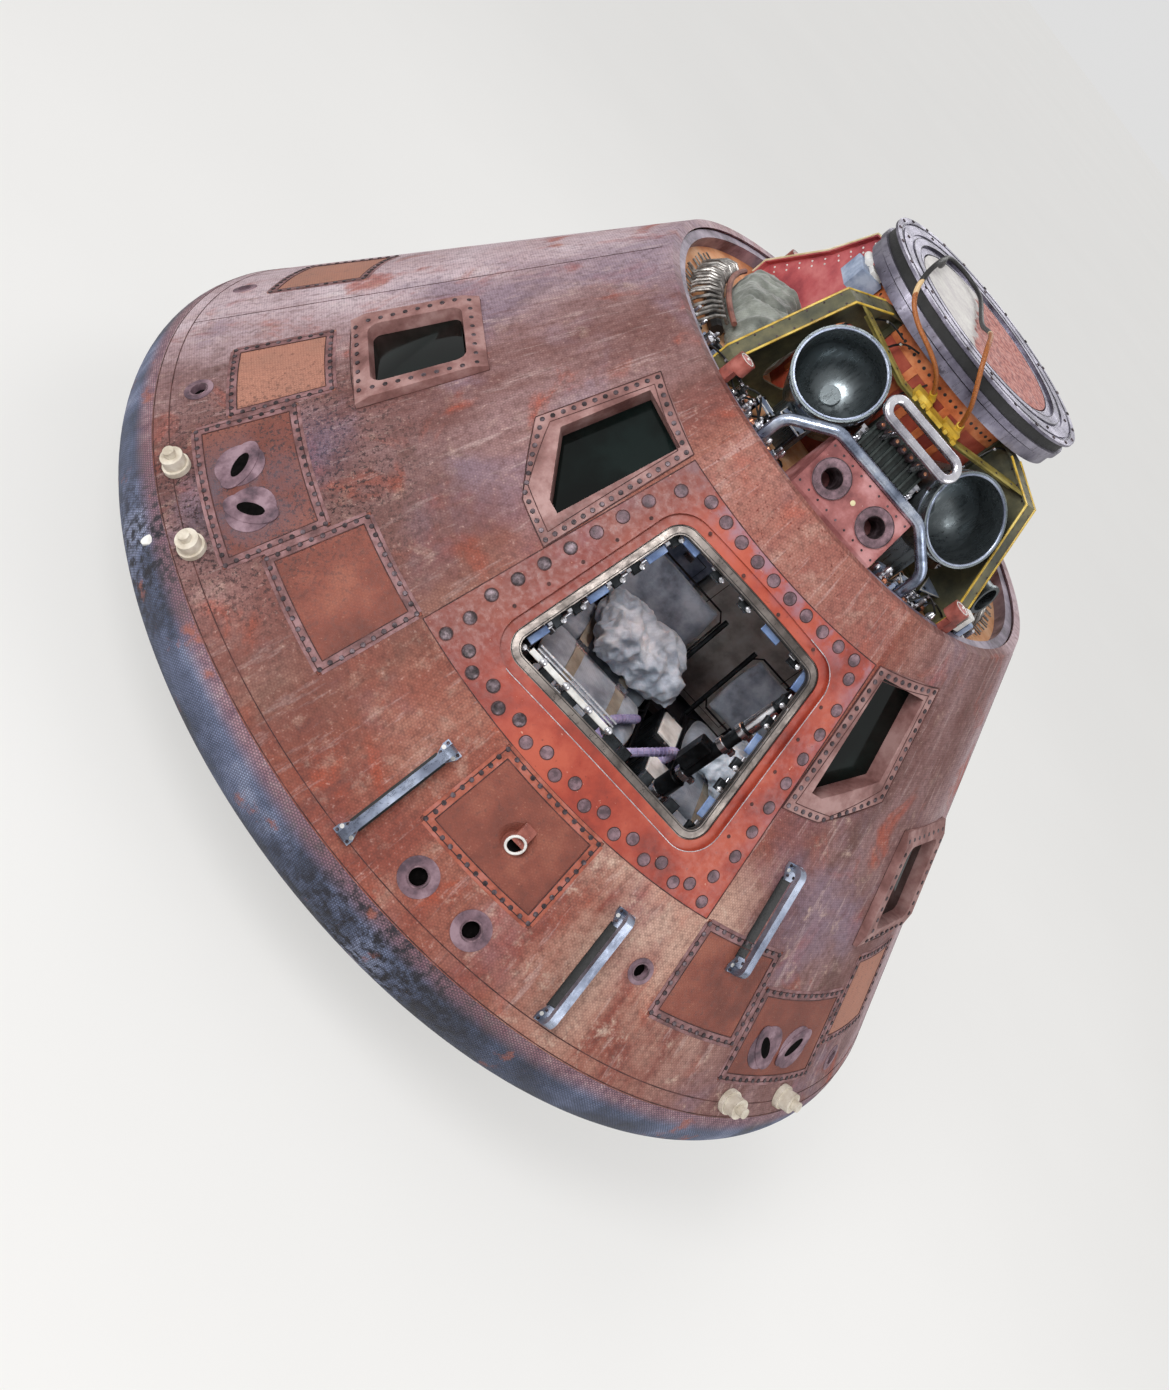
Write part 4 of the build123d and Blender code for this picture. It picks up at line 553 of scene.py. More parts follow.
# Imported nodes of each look
NODE_LOOKS = {
    "aft": "aft_heat_shield",
    "ablator_front": "cone_panel_front",
    "ablator_brow": "cone_panel_brow",
    "ablator_side": "cone_panel_left cone_panel_right",
    "ablator_rear": "cone_panel_left_rear cone_panel_right_rear",
    "red_frame": "hatch_frame",
    "seal": "hatch_seal",
    "window_frame": "side_window_frame_left side_window_frame_right "
                    "rendezvous_window_frame_left rendezvous_window_frame_right",
    "glass": "window_panes_left window_panes_right",
    "inset": "scoop_panel access_panel_left access_panel_right side_panels "
             "roll_panel_left roll_panel_right upper_panels",
    "liner": "pitch_nozzles vent_right yaw_nozzles roll_nozzles_left roll_nozzles_right",
    "cabin": "cabin_floor",
    "deck": "forward_deck",
    "rim": "forward_rim",
    "tunnel": "tunnel",
    "ring": "docking_ring",
    "hatch_face": "forward_hatch",
    "gusset_front": "gusset_front_left gusset_front_right",
    "gusset_rear": "gusset_rear_left gusset_rear_right",
    "beam": "shoulder_beam",
    "mortar": "mortar_left mortar_right pilot_mortar",
    "engine_box": "engine_box",
    "tube": "grab_tube",
    "fins": "finned_unit",
    "handhold": "handhold_loop",
    "yellow": "stepped_bracket",
    "cap": "gusset_caps",
    "rail": "handrail_left handrail_right handrail_upper_right",
    "peg": "ablator_pegs",
    "scoop": "vent_scoop",
    "couch": "couch_left couch_centre couch_right",
    "dark": "couch_frame",
    "console": "main_console",
    "canvas": "canvas_pouch_left canvas_pouch_right",
    "cable": "recovery_cable",
}
for node_look, node_names in NODE_LOOKS.items():
    for node_name in node_names.split():
        node_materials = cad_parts[node_name].data.materials
        node_materials.clear()
        node_materials.append(LOOKS[node_look])


# The recovery cable's route, from its ferrule on the bracket round the top of the ring and back
CABLE_ROUTE = [
    (-0.04, -0.452, 2.556), (-0.08, -0.492, 2.609), (-0.17, -0.52, 2.65), (-0.268, -0.495, 2.668),
    (-0.334, -0.458, 2.705), (-0.357, -0.42, 2.77), (-0.348, -0.345, 2.822), (-0.32, -0.22, 2.812),
    (-0.289, -0.06, 2.752), (-0.266, 0.065, 2.7425), (-0.261, 0.15, 2.7425), (-0.253, 0.225, 2.7425),
    (-0.22, 0.284, 2.7425), (-0.157, 0.308, 2.7425), (-0.094, 0.284, 2.7425), (-0.061, 0.223, 2.7425),
    (-0.056, 0.14, 2.7425), (-0.053, 0.03, 2.7425), (-0.048, -0.11, 2.745), (-0.05, -0.26, 2.779),
    (-0.063, -0.4, 2.804), (-0.062, -0.5, 2.787), (-0.026, -0.55, 2.735), (0.028, -0.55, 2.67),
    (0.074, -0.508, 2.609), (0.1, -0.452, 2.556),
]
CABLE_DIAMETER = 0.017


def recovery_cable():
    """The loop of sheathed cable over the docking ring."""
    curve = bpy.data.curves.new("recovery_cable_sheath", "CURVE")
    curve.dimensions = "3D"
    spline = curve.splines.new("NURBS")
    spline.points.add(len(CABLE_ROUTE) - 1)
    for point, place in zip(spline.points, CABLE_ROUTE):
        point.co = (*place, 1.0)
    spline.order_u = 3
    spline.use_endpoint_u = True
    spline.resolution_u = 10
    curve.bevel_depth = CABLE_DIAMETER / 2
    curve.bevel_resolution = 4
    curve.use_fill_caps = True
    curve.materials.append(LOOKS["cable"])
    cable = linked("recovery_cable_sheath", curve)
    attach(cable, "capsule")
    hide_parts("recovery_cable")


def make_floor():
    """A plain pale floor."""
    mesh = bpy.data.meshes.new("floor")
    ring = [(FLOOR_RADIUS * cos(turn), FLOOR_RADIUS * sin(turn), 0.0) for turn in turns(FLOOR_SIDES)]
    mesh.from_pydata(ring, [], [list(range(FLOOR_SIDES))])
    finish = Finish("floor_pale", 0.9)
    finish.base(finish.noise(0.5, 3.0, 0.5), (0.3, 0.7), "e2e1df eae9e7")
    glow = finish.wire("Emission", {"Color": linear("faf9f7")})
    seen = finish.wire("LightPath", out="Is Camera Ray")
    finish.end(seen * FLOOR_PALE, Wire(finish, finish.shader.outputs[0]), glow, "Material Output")
    mesh.materials.append(finish.done(None))
    linked("floor", mesh)


def at(x, y, z):
    """Place moved by those distances."""
    return Matrix.Translation((x, y, z))


def spun(angle, axis="Z"):
    """Place turned by that angle, in degrees, about its own axis."""
    return Matrix.Rotation(radians(angle), 4, axis)


def turns(sides):
    """That many equal turns round a circle, in radians."""
    return [2 * pi * i / sides for i in range(sides)]


def skin(count, rows, loop=False):
    """Faces over rows of points, count in each, capped at both ends or closed on themselves."""
    faces = []
    for row in range(rows if loop else rows - 1):
        low, high = row * count, (row + 1) % rows * count
        faces += [[low + i, low + (i + 1) % count, high + (i + 1) % count, high + i] for i in range(count)]
    if not loop:
        faces += [list(range(count))[::-1], [(rows - 1) * count + i for i in range(count)]]
    return faces


SHARP = radians(34)
PLATE_EDGE = 0.0015
KITS = []


class Kit:
    """Small parts of one finish, gathered as one mesh. Each is set at a place: its axes and origin."""

    def __init__(self, name, look, slot="dark_metal"):
        self.name, self.look, self.slot = name, look, slot
        self.points, self.faces = [], []
        KITS.append(self)

    def add(self, place, points, faces):
        start = len(self.points)
        self.points += [place @ Vector(point) for point in points]
        self.faces += [[start + corner for corner in face] for face in faces]

    def stack(self, place, rings, loop=False):
        """Skin over rings of as many points each, capped at both ends or closed on itself."""
        self.add(place, [point for ring in rings for point in ring], skin(len(rings[0]), len(rings), loop))

    def lathe(self, place, profile, sides=12, loop=False):
        """Turned part: (radius, height) from its foot up, about the place's Z."""
        rings = [[(r * cos(t), r * sin(t), h) for t in turns(sides)] for r, h in profile]
        self.stack(place, rings, loop)

    def hoop(self, place, inner, outer, low, high, sides=24):
        """Flat ring with its upper edges broken."""
        edge = min(outer - inner, high - low) / 4
        self.lathe(place, [(inner, low), (outer, low), (outer, high - edge), (outer - edge, high),
                           (inner + edge, high), (inner, high - edge)], sides, True)

    def slab(self, place, size, bevel=0.001):
        """Block standing on the place's XY plane, its upper edges bevelled."""
        x, y, z = size[0] / 2, size[1] / 2, size[2]
        rows = [(x, y, 0.0), (x, y, z - bevel), (x - bevel, y - bevel, z)]
        self.stack(place, [[(-a, -b, c), (a, -b, c), (a, b, c), (-a, b, c)] for a, b, c in rows])

    def plate(self, place, outline, low, high):
        """Flat plate of that outline, counterclockwise, with a small bevel on top."""
        middle = sum((Vector(corner) for corner in outline), Vector((0, 0))) / len(outline)
        corners = [Vector(corner) for corner in outline]
        small = [tuple(corner + (middle - corner).normalized() * PLATE_EDGE) for corner in corners]
        rows = [(outline, low), (outline, high - 0.001), (small, high)]
        self.stack(place, [[(x, y, height) for x, y in ring] for ring, height in rows])

    def tube(self, route, radius, sides=8):
        """Round bar or wire along points of the frame."""
        route = [Vector(point) for point in route]
        rings, across = [], None
        for i, point in enumerate(route):
            ahead = (route[min(i + 1, len(route) - 1)] - route[max(i - 1, 0)]).normalized()
            if across is None:
                across = ahead.orthogonal().normalized()
            across = (across - ahead * across.dot(ahead)).normalized()
            other = ahead.cross(across)
            rings.append([point + (across * cos(t) + other * sin(t)) * radius for t in turns(sides)])
        self.stack(at(0, 0, 0), rings)

    def band(self, spots, width, proud, sink=0.002):
        """Flat strip on the hull through spots of (azimuth, z)."""
        for (azimuth, z), (next_azimuth, next_z) in zip(spots, spots[1:]):
            start, end = hull_point(azimuth, z), hull_point(next_azimuth, next_z)
            steps = max(1, ceil((end - start).length / 0.05))
            rings = []
            for i in range(steps + 1):
                share = i / steps
                here = (azimuth + (next_azimuth - azimuth) * share, z + (next_z - z) * share)
                place = hull_place(*here)
                ahead = (end - start).normalized()
                normal = place.to_3x3() @ Vector((0, 0, 1))
                side = normal.cross(ahead).normalized() * (width / 2)
                point = place.translation
                low, high = point - normal * sink, point + normal * proud
                rings.append([low + side, low - side, high - side, high + side])
            self.stack(at(0, 0, 0), rings)

    def make(self):
        mesh = bpy.data.meshes.new(self.name)
        mesh.from_pydata([tuple(point) for point in self.points], [], self.faces)
        mesh.shade_smooth()
        mesh.set_sharp_from_angle(angle=SHARP)
        mesh.materials.append(LOOKS[self.look])
        piece = linked(self.name, mesh)
        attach(piece, "capsule")


def hull_radius(z):
    """Radius of the cone at that height."""
    return SEAM_RADIUS - (z - SEAM_Z) * tan(CONE_ANGLE)


def hull_place(azimuth, z, out=0.0, spin=0.0):
    """Place on the cone: X round it, Y up a generator, Z outwards. Azimuth in degrees from -Y towards +X."""
    turn = radians(azimuth)
    away = Vector((sin(turn), -cos(turn), 0.0))
    around = Vector((cos(turn), sin(turn), 0.0))
    normal = away * cos(CONE_ANGLE) + Vector((0, 0, sin(CONE_ANGLE)))
    up = normal.cross(around)
    place = Matrix((around, up, normal)).transposed().to_4x4()
    place.translation = away * hull_radius(z) + Vector((0, 0, z)) + normal * out
    return place @ spun(spin)


def hull_point(azimuth, z, out=0.0):
    return hull_place(azimuth, z, out).translation


def level_place(azimuth, radius, z, spin=0.0):
    """Place with Z up at that azimuth and radius: X round the axis, Y inwards."""
    turn = radians(azimuth)
    place = Matrix.Rotation(turn + radians(spin), 4, "Z")
    place.translation = Vector((sin(turn) * radius, -cos(turn) * radius, z))
    return place


def level_way(azimuth, x, y, z):
    """Direction in the axes of a level place at that azimuth."""
    return level_place(azimuth, 1, 0).to_3x3() @ Vector((x, y, z))


def axes_place(origin, x_axis, z_axis):
    """Place from an origin, an X axis and a Z axis."""
    z_axis = Vector(z_axis).normalized()
    x_axis = Vector(x_axis)
    x_axis = (x_axis - z_axis * x_axis.dot(z_axis)).normalized()
    place = Matrix((x_axis, z_axis.cross(x_axis), z_axis)).transposed().to_4x4()
    place.translation = Vector(origin)
    return place


def between(start, end, count):
    """That many pairs of values evenly from start to end, both included."""
    return [tuple(a + (b - a) * i / (count - 1) for a, b in zip(start, end)) for i in range(count)]


def along_outline(corners, pitch):
    """Spots of (azimuth, z) about a pitch apart along a closed outline on the hull."""
    spots = []
    for start, end in zip(corners, corners[1:] + corners[:1]):
        length = (hull_point(*end) - hull_point(*start)).length
        count = max(2, round(length / pitch) + 1)
        spots += between(start, end, count)[:-1]
    return spots


def shrunk(corners, distance):
    """Outline on the hull drawn in by about a distance towards its middle."""
    middle = (sum(c[0] for c in corners) / len(corners), sum(c[1] for c in corners) / len(corners))
    drawn = []
    for azimuth, z in corners:
        reach = radians(1) * hull_radius(z)
        step_azimuth = copysign(distance / reach, middle[0] - azimuth)
        step_z = copysign(distance * cos(CONE_ANGLE), middle[1] - z)
        drawn.append((azimuth + step_azimuth, z + step_z))
    return drawn


# Inset panels as (from azimuth, to azimuth, from z, to z, border look); the last three are on both sides
INSETS = [
    (-7.75, 7.75, 0.87, 1.16, "warm"),
    (24.8, 38.6, 0.865, 1.168, "cool"),
    (57.4, 69.6, 0.863, 1.169, "cool"),
    (39.0, 57.0, 0.76, 1.06, "cool"),
    (84.0, 98.0, 0.88, 1.2, "cool"),
]
BORDER_WIDTH = 0.036
BORDER_PITCH = 0.037
BOLT = [(0.0085, -0.001), (0.0085, 0.0022), (0.007, 0.0034), (0.003, 0.0034)]
PLUG_RADIUS = 0.02
SEAM_WIDTH = 0.0036
PLUG_FACE = [(PLUG_RADIUS, -0.002), (PLUG_RADIUS, 0.001), (PLUG_RADIUS - 0.002, 0.0018),
             (PLUG_RADIUS - 0.004, 0.0012), (0.004, 0.0012)]


def both_sides(row):
    """A panel row and its mirror image, or the row alone if it lies in the middle."""
    low, high, low_z, high_z, look = row
    return [row] if low < 0 else [row, (-high, -low, low_z, high_z, look)]


def hull_fittings():
    """Borders and bolts of the inset panels, and the dark joints between panels."""
    seams = Kit("panel_seams", "seam", "ablator")
    bolts = Kit("panel_bolts", "bolt_dark")
    borders = {"warm": Kit("scoop_panel_border", "border_warm", "inset_panel"),
               "cool": Kit("panel_borders", "border", "inset_panel")}
    for row in [side for row in INSETS for side in both_sides(row)]:
        low, high, low_z, high_z, look = row
        corners = [(low, low_z), (high, low_z), (high, high_z), (low, high_z)]
        middle = shrunk(corners, 0.012)
        borders[look].band(middle + middle[:1], BORDER_WIDTH, 0.0012)
        for edge in (shrunk(corners, -0.007), shrunk(corners, 0.031)):
            seams.band(edge + edge[:1], SEAM_WIDTH, 0.0016)
        for azimuth, z in along_outline(middle, BORDER_PITCH):
            spot = hull_place(azimuth + random.uniform(-0.1, 0.1), z, 0.0012, random.uniform(0, 60))
            bolts.lathe(spot, BOLT, 8)
    frame_corners = [(-HATCH_EDGE, HATCH_LOW.z), (HATCH_EDGE, HATCH_LOW.z),
                     (HATCH_EDGE, HATCH_HIGH.z), (-HATCH_EDGE, HATCH_HIGH.z)]
    seams.band(frame_corners + frame_corners[:1], SEAM_WIDTH, 0.001)
    for z in (SEAM_Z + 0.004, SEAM_Z + 0.05):
        seams.band(between((-180.0, z), (180.0, z), 73), SEAM_WIDTH, 0.0008)
    for azimuth in (-78.0, 78.0, 180.0):
        seams.band([(azimuth, SEAM_Z + 0.05), (azimuth, CONE_TOP_Z - 0.02)], SEAM_WIDTH, 0.0008)


# Plug rows of the hatch frame: first spot, last spot, how many, and which of them are dark
PLUG_ROWS = [
    ((-22.7, 1.346), (-22.5, 1.819), 7, (0, 1, 2, 3)),
    ((-21.6, 1.195), (-21.2, 1.905), 2, (0,)),
    ((-21.7, 1.268), (-21.7, 1.289), 1, (0,)),
    ((22.7, 1.346), (22.9, 1.819), 7, ()),
    ((21.7, 1.27), (21.3, 1.905), 2, ()),
    ((-17.0, 1.953), (20.0, 1.953), 10, ()),
    ((-16.4, 1.195), (22.4, 1.197), 9, (0, 1)),
    ((-18.6, 1.219), (19.5, 1.219), 9, (0, 1, 2)),
]


# The opening's corners in the plane that touches the hull at its middle, x to the right and y up the hull
DOOR_MIDDLE_Z = (DOOR_LOW_Z + DOOR_HIGH_Z) / 2
DOOR_CORNER_RADIUS = 0.075
REBATE_WIDTH = 0.034


def door_corner(azimuth, z):
    """A point of the hull, seen in the opening's plane."""
    place = hull_place(0.0, DOOR_MIDDLE_Z).inverted() @ hull_point(azimuth, z)
    return Vector((place.x, place.y))


# From the lower left one, counterclockwise
DOOR_CORNERS = [door_corner(-DOOR_EDGE, DOOR_LOW_Z), door_corner(DOOR_EDGE, DOOR_LOW_Z),
                door_corner(DOOR_EDGE, DOOR_HIGH_Z), door_corner(-DOOR_EDGE, DOOR_HIGH_Z)]


def door_outline(grow=0.0, steps=10):
    """The opening's outline grown by a distance, from its lower left corner round by the lower right one."""
    corners = DOOR_CORNERS
    points = []
    for i, corner in enumerate(corners):
        before = (corner - corners[i - 1]).normalized()
        side = corners[(i + 1) % 4] - corner
        after = side.normalized()
        half = acos(max(-1.0, min(1.0, before.dot(after)))) / 2
        centre = corner + (after - before).normalized() * (DOOR_CORNER_RADIUS / cos(half))
        first = Vector((before.y, -before.x))
        for k in range(steps + 1):
            turn = 2 * half * k / steps
            ray = Vector((first.x * cos(turn) - first.y * sin(turn),
                          first.x * sin(turn) + first.y * cos(turn)))
            points.append(tuple(centre + ray * (DOOR_CORNER_RADIUS + grow)))
        start = Vector(points[-1])
        straight = side.length - 2.2 * DOOR_CORNER_RADIUS
        points += [tuple(start + after * straight * k / 8) for k in range(1, 8)]
    return points


def on_hatch(x, y, depth):
    """Point at a depth under the hull's surface, over a point of the opening's plane."""
    place = hull_place(0.0, DOOR_MIDDLE_Z)
    height = 0.0
    for _ in range(6):
        point = place @ Vector((x, y, height))
        height -= (hypot(point.x, point.y) - hull_radius(point.z)) * cos(CONE_ANGLE) + depth
    return place @ Vector((x, y, height))


# Small holes of the rebate, as (azimuth, z), and its joints as (growth of the outline, depth, radius)
REBATE_HOLES = ([(side * 20.1, 1.38 + i * 0.105) for side in (-1, 1) for i in range(5)]
                + [(azimuth, 1.902) for azimuth in (-13.0, -4.5, 4.0, 12.5)])
REBATE_HOLE = [(0.0065, -0.002), (0.0065, 0.0012), (0.002, 0.0012)]
REBATE_JOINTS = [(-0.004, 0.0175, 0.0013), (-0.027, 0.0175, 0.0013), (-0.0325, 0.036, 0.002)]
PLUG_RIM = [(PLUG_RADIUS + 0.003, -0.002), (PLUG_RADIUS + 0.003, 0.0006), (0.004, 0.0006)]


def hatch_frame_fittings():
    """Round plugs in the hatch frame, the small holes of its rebate, and a bright line of painted highlight
    along part of the rebate's edge.
    """
    rims = Kit("hatch_frame_plug_rims", "seam", "red_frame")
    plugs = Kit("hatch_frame_plugs", "plug", "nozzle_liner")
    dark = Kit("hatch_frame_dark_plugs", "bolt_dark")
    edge = Kit("hatch_frame_highlight_edge", "chrome", "seal_metal")
    lines = Kit("hatch_seal_joints", "rubber")
    for start, end, count, dark_ones in PLUG_ROWS:
        for i, spot in enumerate(between(start, end, count) if count > 1 else [start]):
            rims.lathe(hull_place(*spot), PLUG_RIM, 20)
            (dark if i in dark_ones else plugs).lathe(hull_place(*spot), PLUG_FACE, 20)
    for spot in REBATE_HOLES:
        rims.lathe(hull_place(*spot), REBATE_HOLE, 10)
    outline = door_outline(REBATE_WIDTH + 0.001)
    quarter = len(outline) // 4
    # A bright metal bead round the lower left corner, bottom and right side of the rebate's edge: a painted
    # highlight.
    wear_and_highlight = outline[quarter // 2:quarter * 3 - quarter // 3]
    edge.tube([on_hatch(x, y, 0.0) for x, y in wear_and_highlight], 0.0018, 6)
    for grow, depth, radius in REBATE_JOINTS:
        route = [on_hatch(x, y, depth) for x, y in door_outline(grow)]
        lines.tube(route + route[:1], radius, 6)


# Window outlines as (azimuth, z) on the left; the right side mirrors them
SIDE_WINDOW = [(-70.1, 1.216), (-53.3, 1.216), (-53.3, 1.592), (-70.1, 1.592)]
DOCK_WINDOW = [(-31.6, 1.539), (-24.5, 1.524), (-25.3, 1.985), (-42.0, 2.017), (-42.4, 1.664)]
SIDE_AIM = (-61.7, 1.404)
SIDE_PROUD = 0.02
# In that plane: bolt rows up the frame's sides and on its end slopes, and the outer pane
SIDE_BOLT_X = 0.18
SIDE_SLOPE_Y = 0.197
SIDE_SLOPE_DROP = 0.008
SIDE_SLOPE_TILT = 16.2
SIDE_PANE = [(-0.147, -0.15), (0.147, -0.15), (0.133, 0.157), (-0.133, 0.157)]
SIDE_CORNER = 0.03
SIDE_PANE_DEPTH = -0.044


def mirrored(corners):
    """The same outline on the hull's other side."""
    return [(-azimuth, z) for azimuth, z in reversed(corners)]


def rounded(corners, radius, steps=6):
    """Outline with its corners rounded."""
    points = []
    for i, corner in enumerate(corners):
        corner = Vector(corner)
        first = corner + (Vector(corners[i - 1]) - corner).normalized() * radius
        last = corner + (Vector(corners[(i + 1) % len(corners)]) - corner).normalized() * radius
        for k in range(steps + 1):
            share = k / steps
            points.append(tuple(first.lerp(corner, share).lerp(corner.lerp(last, share), share)))
    return points


def window_fittings():
    """Bolts and joints of the window frames, with the dark line round each reveal."""
    bolts = Kit("window_bolts", "bolt_dark")
    seams = Kit("window_seams", "seam", "window_frame")
    panes = Kit("side_window_outer_panes", "glass", "window_glass")
    for turn in (list, mirrored):
        dock = turn(DOCK_WINDOW)
        outer, inner = shrunk(dock, 0.017), shrunk(dock, 0.036)
        for azimuth, z in along_outline(outer, 0.034):
            bolts.lathe(hull_place(azimuth, z, 0.003, random.uniform(0, 60)), BOLT, 8)
        seams.band(dock + dock[:1], SEAM_WIDTH, 0.0042)
        seams.band(inner + inner[:1], 0.003, 0.0036)
        side = turn(SIDE_WINDOW)
        seams.band(side + side[:1], SEAM_WIDTH, 0.0012)
        face = hull_place(SIDE_AIM[0] * (1 if turn is list else -1), SIDE_AIM[1], SIDE_PROUD)
        for x in (-SIDE_BOLT_X, SIDE_BOLT_X):
            for _, y in between((x, -0.15), (x, 0.15), 8):
                bolts.lathe(face @ at(x, y, 0.0), BOLT, 8)
        for end in (-1, 1):
            slope = face @ at(0.0, end * SIDE_SLOPE_Y, -SIDE_SLOPE_DROP)
            slope @= spun(-end * SIDE_SLOPE_TILT, "X")
            for x, _ in between((-0.17, 0.0), (0.17, 0.0), 8):
                bolts.lathe(slope @ at(x, 0.0, 0.0), BOLT, 8)
        panes.plate(face, rounded(SIDE_PANE, SIDE_CORNER), SIDE_PANE_DEPTH - 0.004, SIDE_PANE_DEPTH)


# Handrails: azimuth, upper z, lower z
HANDRAILS = [(-11.05, 1.049, 0.685), (15.1, 1.065, 0.701), (32.1, 1.41, 1.066)]
FOOT_HEIGHT = 0.0098
FOOT_BOLTS = [(0.009, 0.0235), (0.026, 0.0225), (0.043, 0.016)]    # inside the end, off the middle


RAIL_WASHER = [(0.0072, 0.0), (0.0072, 0.0012), (0.003, 0.0012)]
RAIL_BOLT = [(0.006, 0.0), (0.006, 0.0026), (0.0042, 0.004), (0.002, 0.004)]


def handrail_fittings():
    """Bolts through the feet of the handrails, and black strips of painted shadow under them."""
    bolts = Kit("handrail_bolts", "bolt_dark")
    washers = Kit("handrail_washers", "white", "rail_metal")
    rail_shadows = Kit("handrail_shadow_strips", "rubber")
    for azimuth, high_z, low_z in HANDRAILS:
        middle = hull_place(azimuth, (high_z + low_z) / 2)
        half = (high_z - low_z) / cos(CONE_ANGLE) / 2
        for end in (-1, 1):
            for i, (inside, aside) in enumerate(FOOT_BOLTS):
                for side in (-1, 1):
                    place = middle @ at(side * aside, end * (half - inside), FOOT_HEIGHT)
                    if i == 1:
                        washers.lathe(place, RAIL_WASHER, 12)
                    else:
                        bolts.lathe(place, RAIL_BOLT, 6)
        # Black strip under each rail: painted shadow.
        rail_shadows.band([(azimuth, low_z + 0.045), (azimuth, high_z - 0.045)], 0.046, 0.0012)


# Nozzles of the hull as (azimuth, z, bore, cant of the bore round the hull), and those on both sides
NOZZLES = [(-3.6, 0.77, 0.03, 0.0), (3.6, 0.77, 0.03, 0.0), (21.0, 0.955, 0.025, 0.0)]
PAIRED_NOZZLES = [(63.3, 0.777, 0.027, 0.0), (87.7, 0.772, 0.025, 0.0),
                  (50.3, 0.878, 0.033, 38.0), (44.4, 0.878, 0.033, -38.0)]
NOZZLES += [(side * azimuth, z, bore, side * cant)
            for side in (-1, 1) for azimuth, z, bore, cant in PAIRED_NOZZLES]
NOZZLE_PROUD = 0.002
# Lips of the roll nozzles: azimuth, angle of the long axis; then half lengths of the lip and of its mouth
ROLL_LIPS = [(-50.3, 143.0), (-44.4, 51.0), (50.3, 37.0), (44.4, 129.0)]
ROLL_Z = 0.878
LIP = (0.098, 0.051)
MOUTH = (0.05, 0.022)


def ellipse(size, height, sides=32):
    """Points round an ellipse of those half sizes, at that height."""
    return [(size[0] * cos(t), size[1] * sin(t), height) for t in turns(sides)]


SCOOP_SPOT = (0.6, 1.002)
SCOOP_DEPTH = 0.014
SCOOP_RADIUS = 0.029        # middle of the tube's wall
SCOOP_MIDDLE = 0.023        # height of the mouth over the dish, at the tube's middle
SCOOP_CUT = 32.0


def scoop_fittings():
    """White mouth of the vent scoop, and a black disc of painted shade inside its tube."""
    mouth = Kit("scoop_mouth", "white", "scoop_orange")
    inside = Kit("scoop_inside_shade", "soot_and_shade", "scoop_orange")
    place = hull_place(*SCOOP_SPOT, -SCOOP_DEPTH)
    slope = tan(radians(SCOOP_CUT))
    rim = [(x, y, SCOOP_MIDDLE + y * slope) for x, y, _ in ellipse((SCOOP_RADIUS, SCOOP_RADIUS), 0.0)]
    mouth.tube([place @ Vector(point) for point in rim + rim[:1]], 0.0046, 8)
    # Black disc in the tube: painted shade of the hole.
    inside.lathe(place, [(0.0245, 0.002), (0.0245, 0.0062), (0.003, 0.0062)], 20)


def nozzle_fittings():
    """Charred throats of the nozzles, near black as painted shade of the deep bores, and the long lips of
    the roll nozzles.
    """
    throats = Kit("nozzle_throats", "soot_and_shade", "nozzle_liner")
    rings = Kit("nozzle_rings", "plug", "nozzle_liner")
    lips = Kit("roll_nozzle_lips", "liner", "nozzle_liner")
    for azimuth, z, bore, cant in NOZZLES:
        top = -0.022 - bore * abs(sin(radians(cant)))
        inside = [(bore - 0.0006, top - 0.03), (bore - 0.0006, top), (0.004, top - 0.001)]
        # Near-black stop deep in the bore: char, and painted shade.
        throats.lathe(hull_place(azimuth, z) @ spun(cant, "Y"), inside, 24)
        if not cant:
            rings.hoop(hull_place(azimuth, z, NOZZLE_PROUD), bore + 0.001, bore + 0.006, -0.001, 0.0018, 28)
    # Half lengths and their growth, and the height, round the section of a lip and of the char and painted
    # shade in it
    lip = [(MOUTH, 0.0, -0.001), (LIP, 0.0, -0.001), (LIP, 0.0, 0.002), (LIP, -0.004, 0.004),
           (MOUTH, 0.008, 0.004), (MOUTH, 0.0, 0.001)]
    burnt = [(MOUTH, 0.002, -0.0008), (MOUTH, 0.002, 0.0004)]
    for azimuth, spin in ROLL_LIPS:
        place = hull_place(azimuth, ROLL_Z, NOZZLE_PROUD, spin)
        for kit, section, loop in ((lips, lip, True), (throats, burnt, False)):
            rows = [ellipse([half + grow for half in size], height) for size, grow, height in section]
            kit.stack(place, rows, loop)


def hull_extras():
    """The white oval plug on the aft band and the small rings of the scoop panel."""
    white = Kit("oval_plug", "white", "peg_white")
    rings = Kit("scoop_rings", "rubber")
    oval = hull_place(-45.5, 0.6, -0.045) @ Matrix.Diagonal((1.0, 1.7, 1.0, 1.0))
    white.lathe(oval, [(0.019, 0.0), (0.019, 0.03), (0.015, 0.033), (0.004, 0.034)], 20)
    for azimuth, z in ((-1.75, 1.028), (2.9, 0.972)):
        rings.hoop(hull_place(azimuth, z, -0.0062), 0.0085, 0.0125, -0.008, 0.0022, 16)


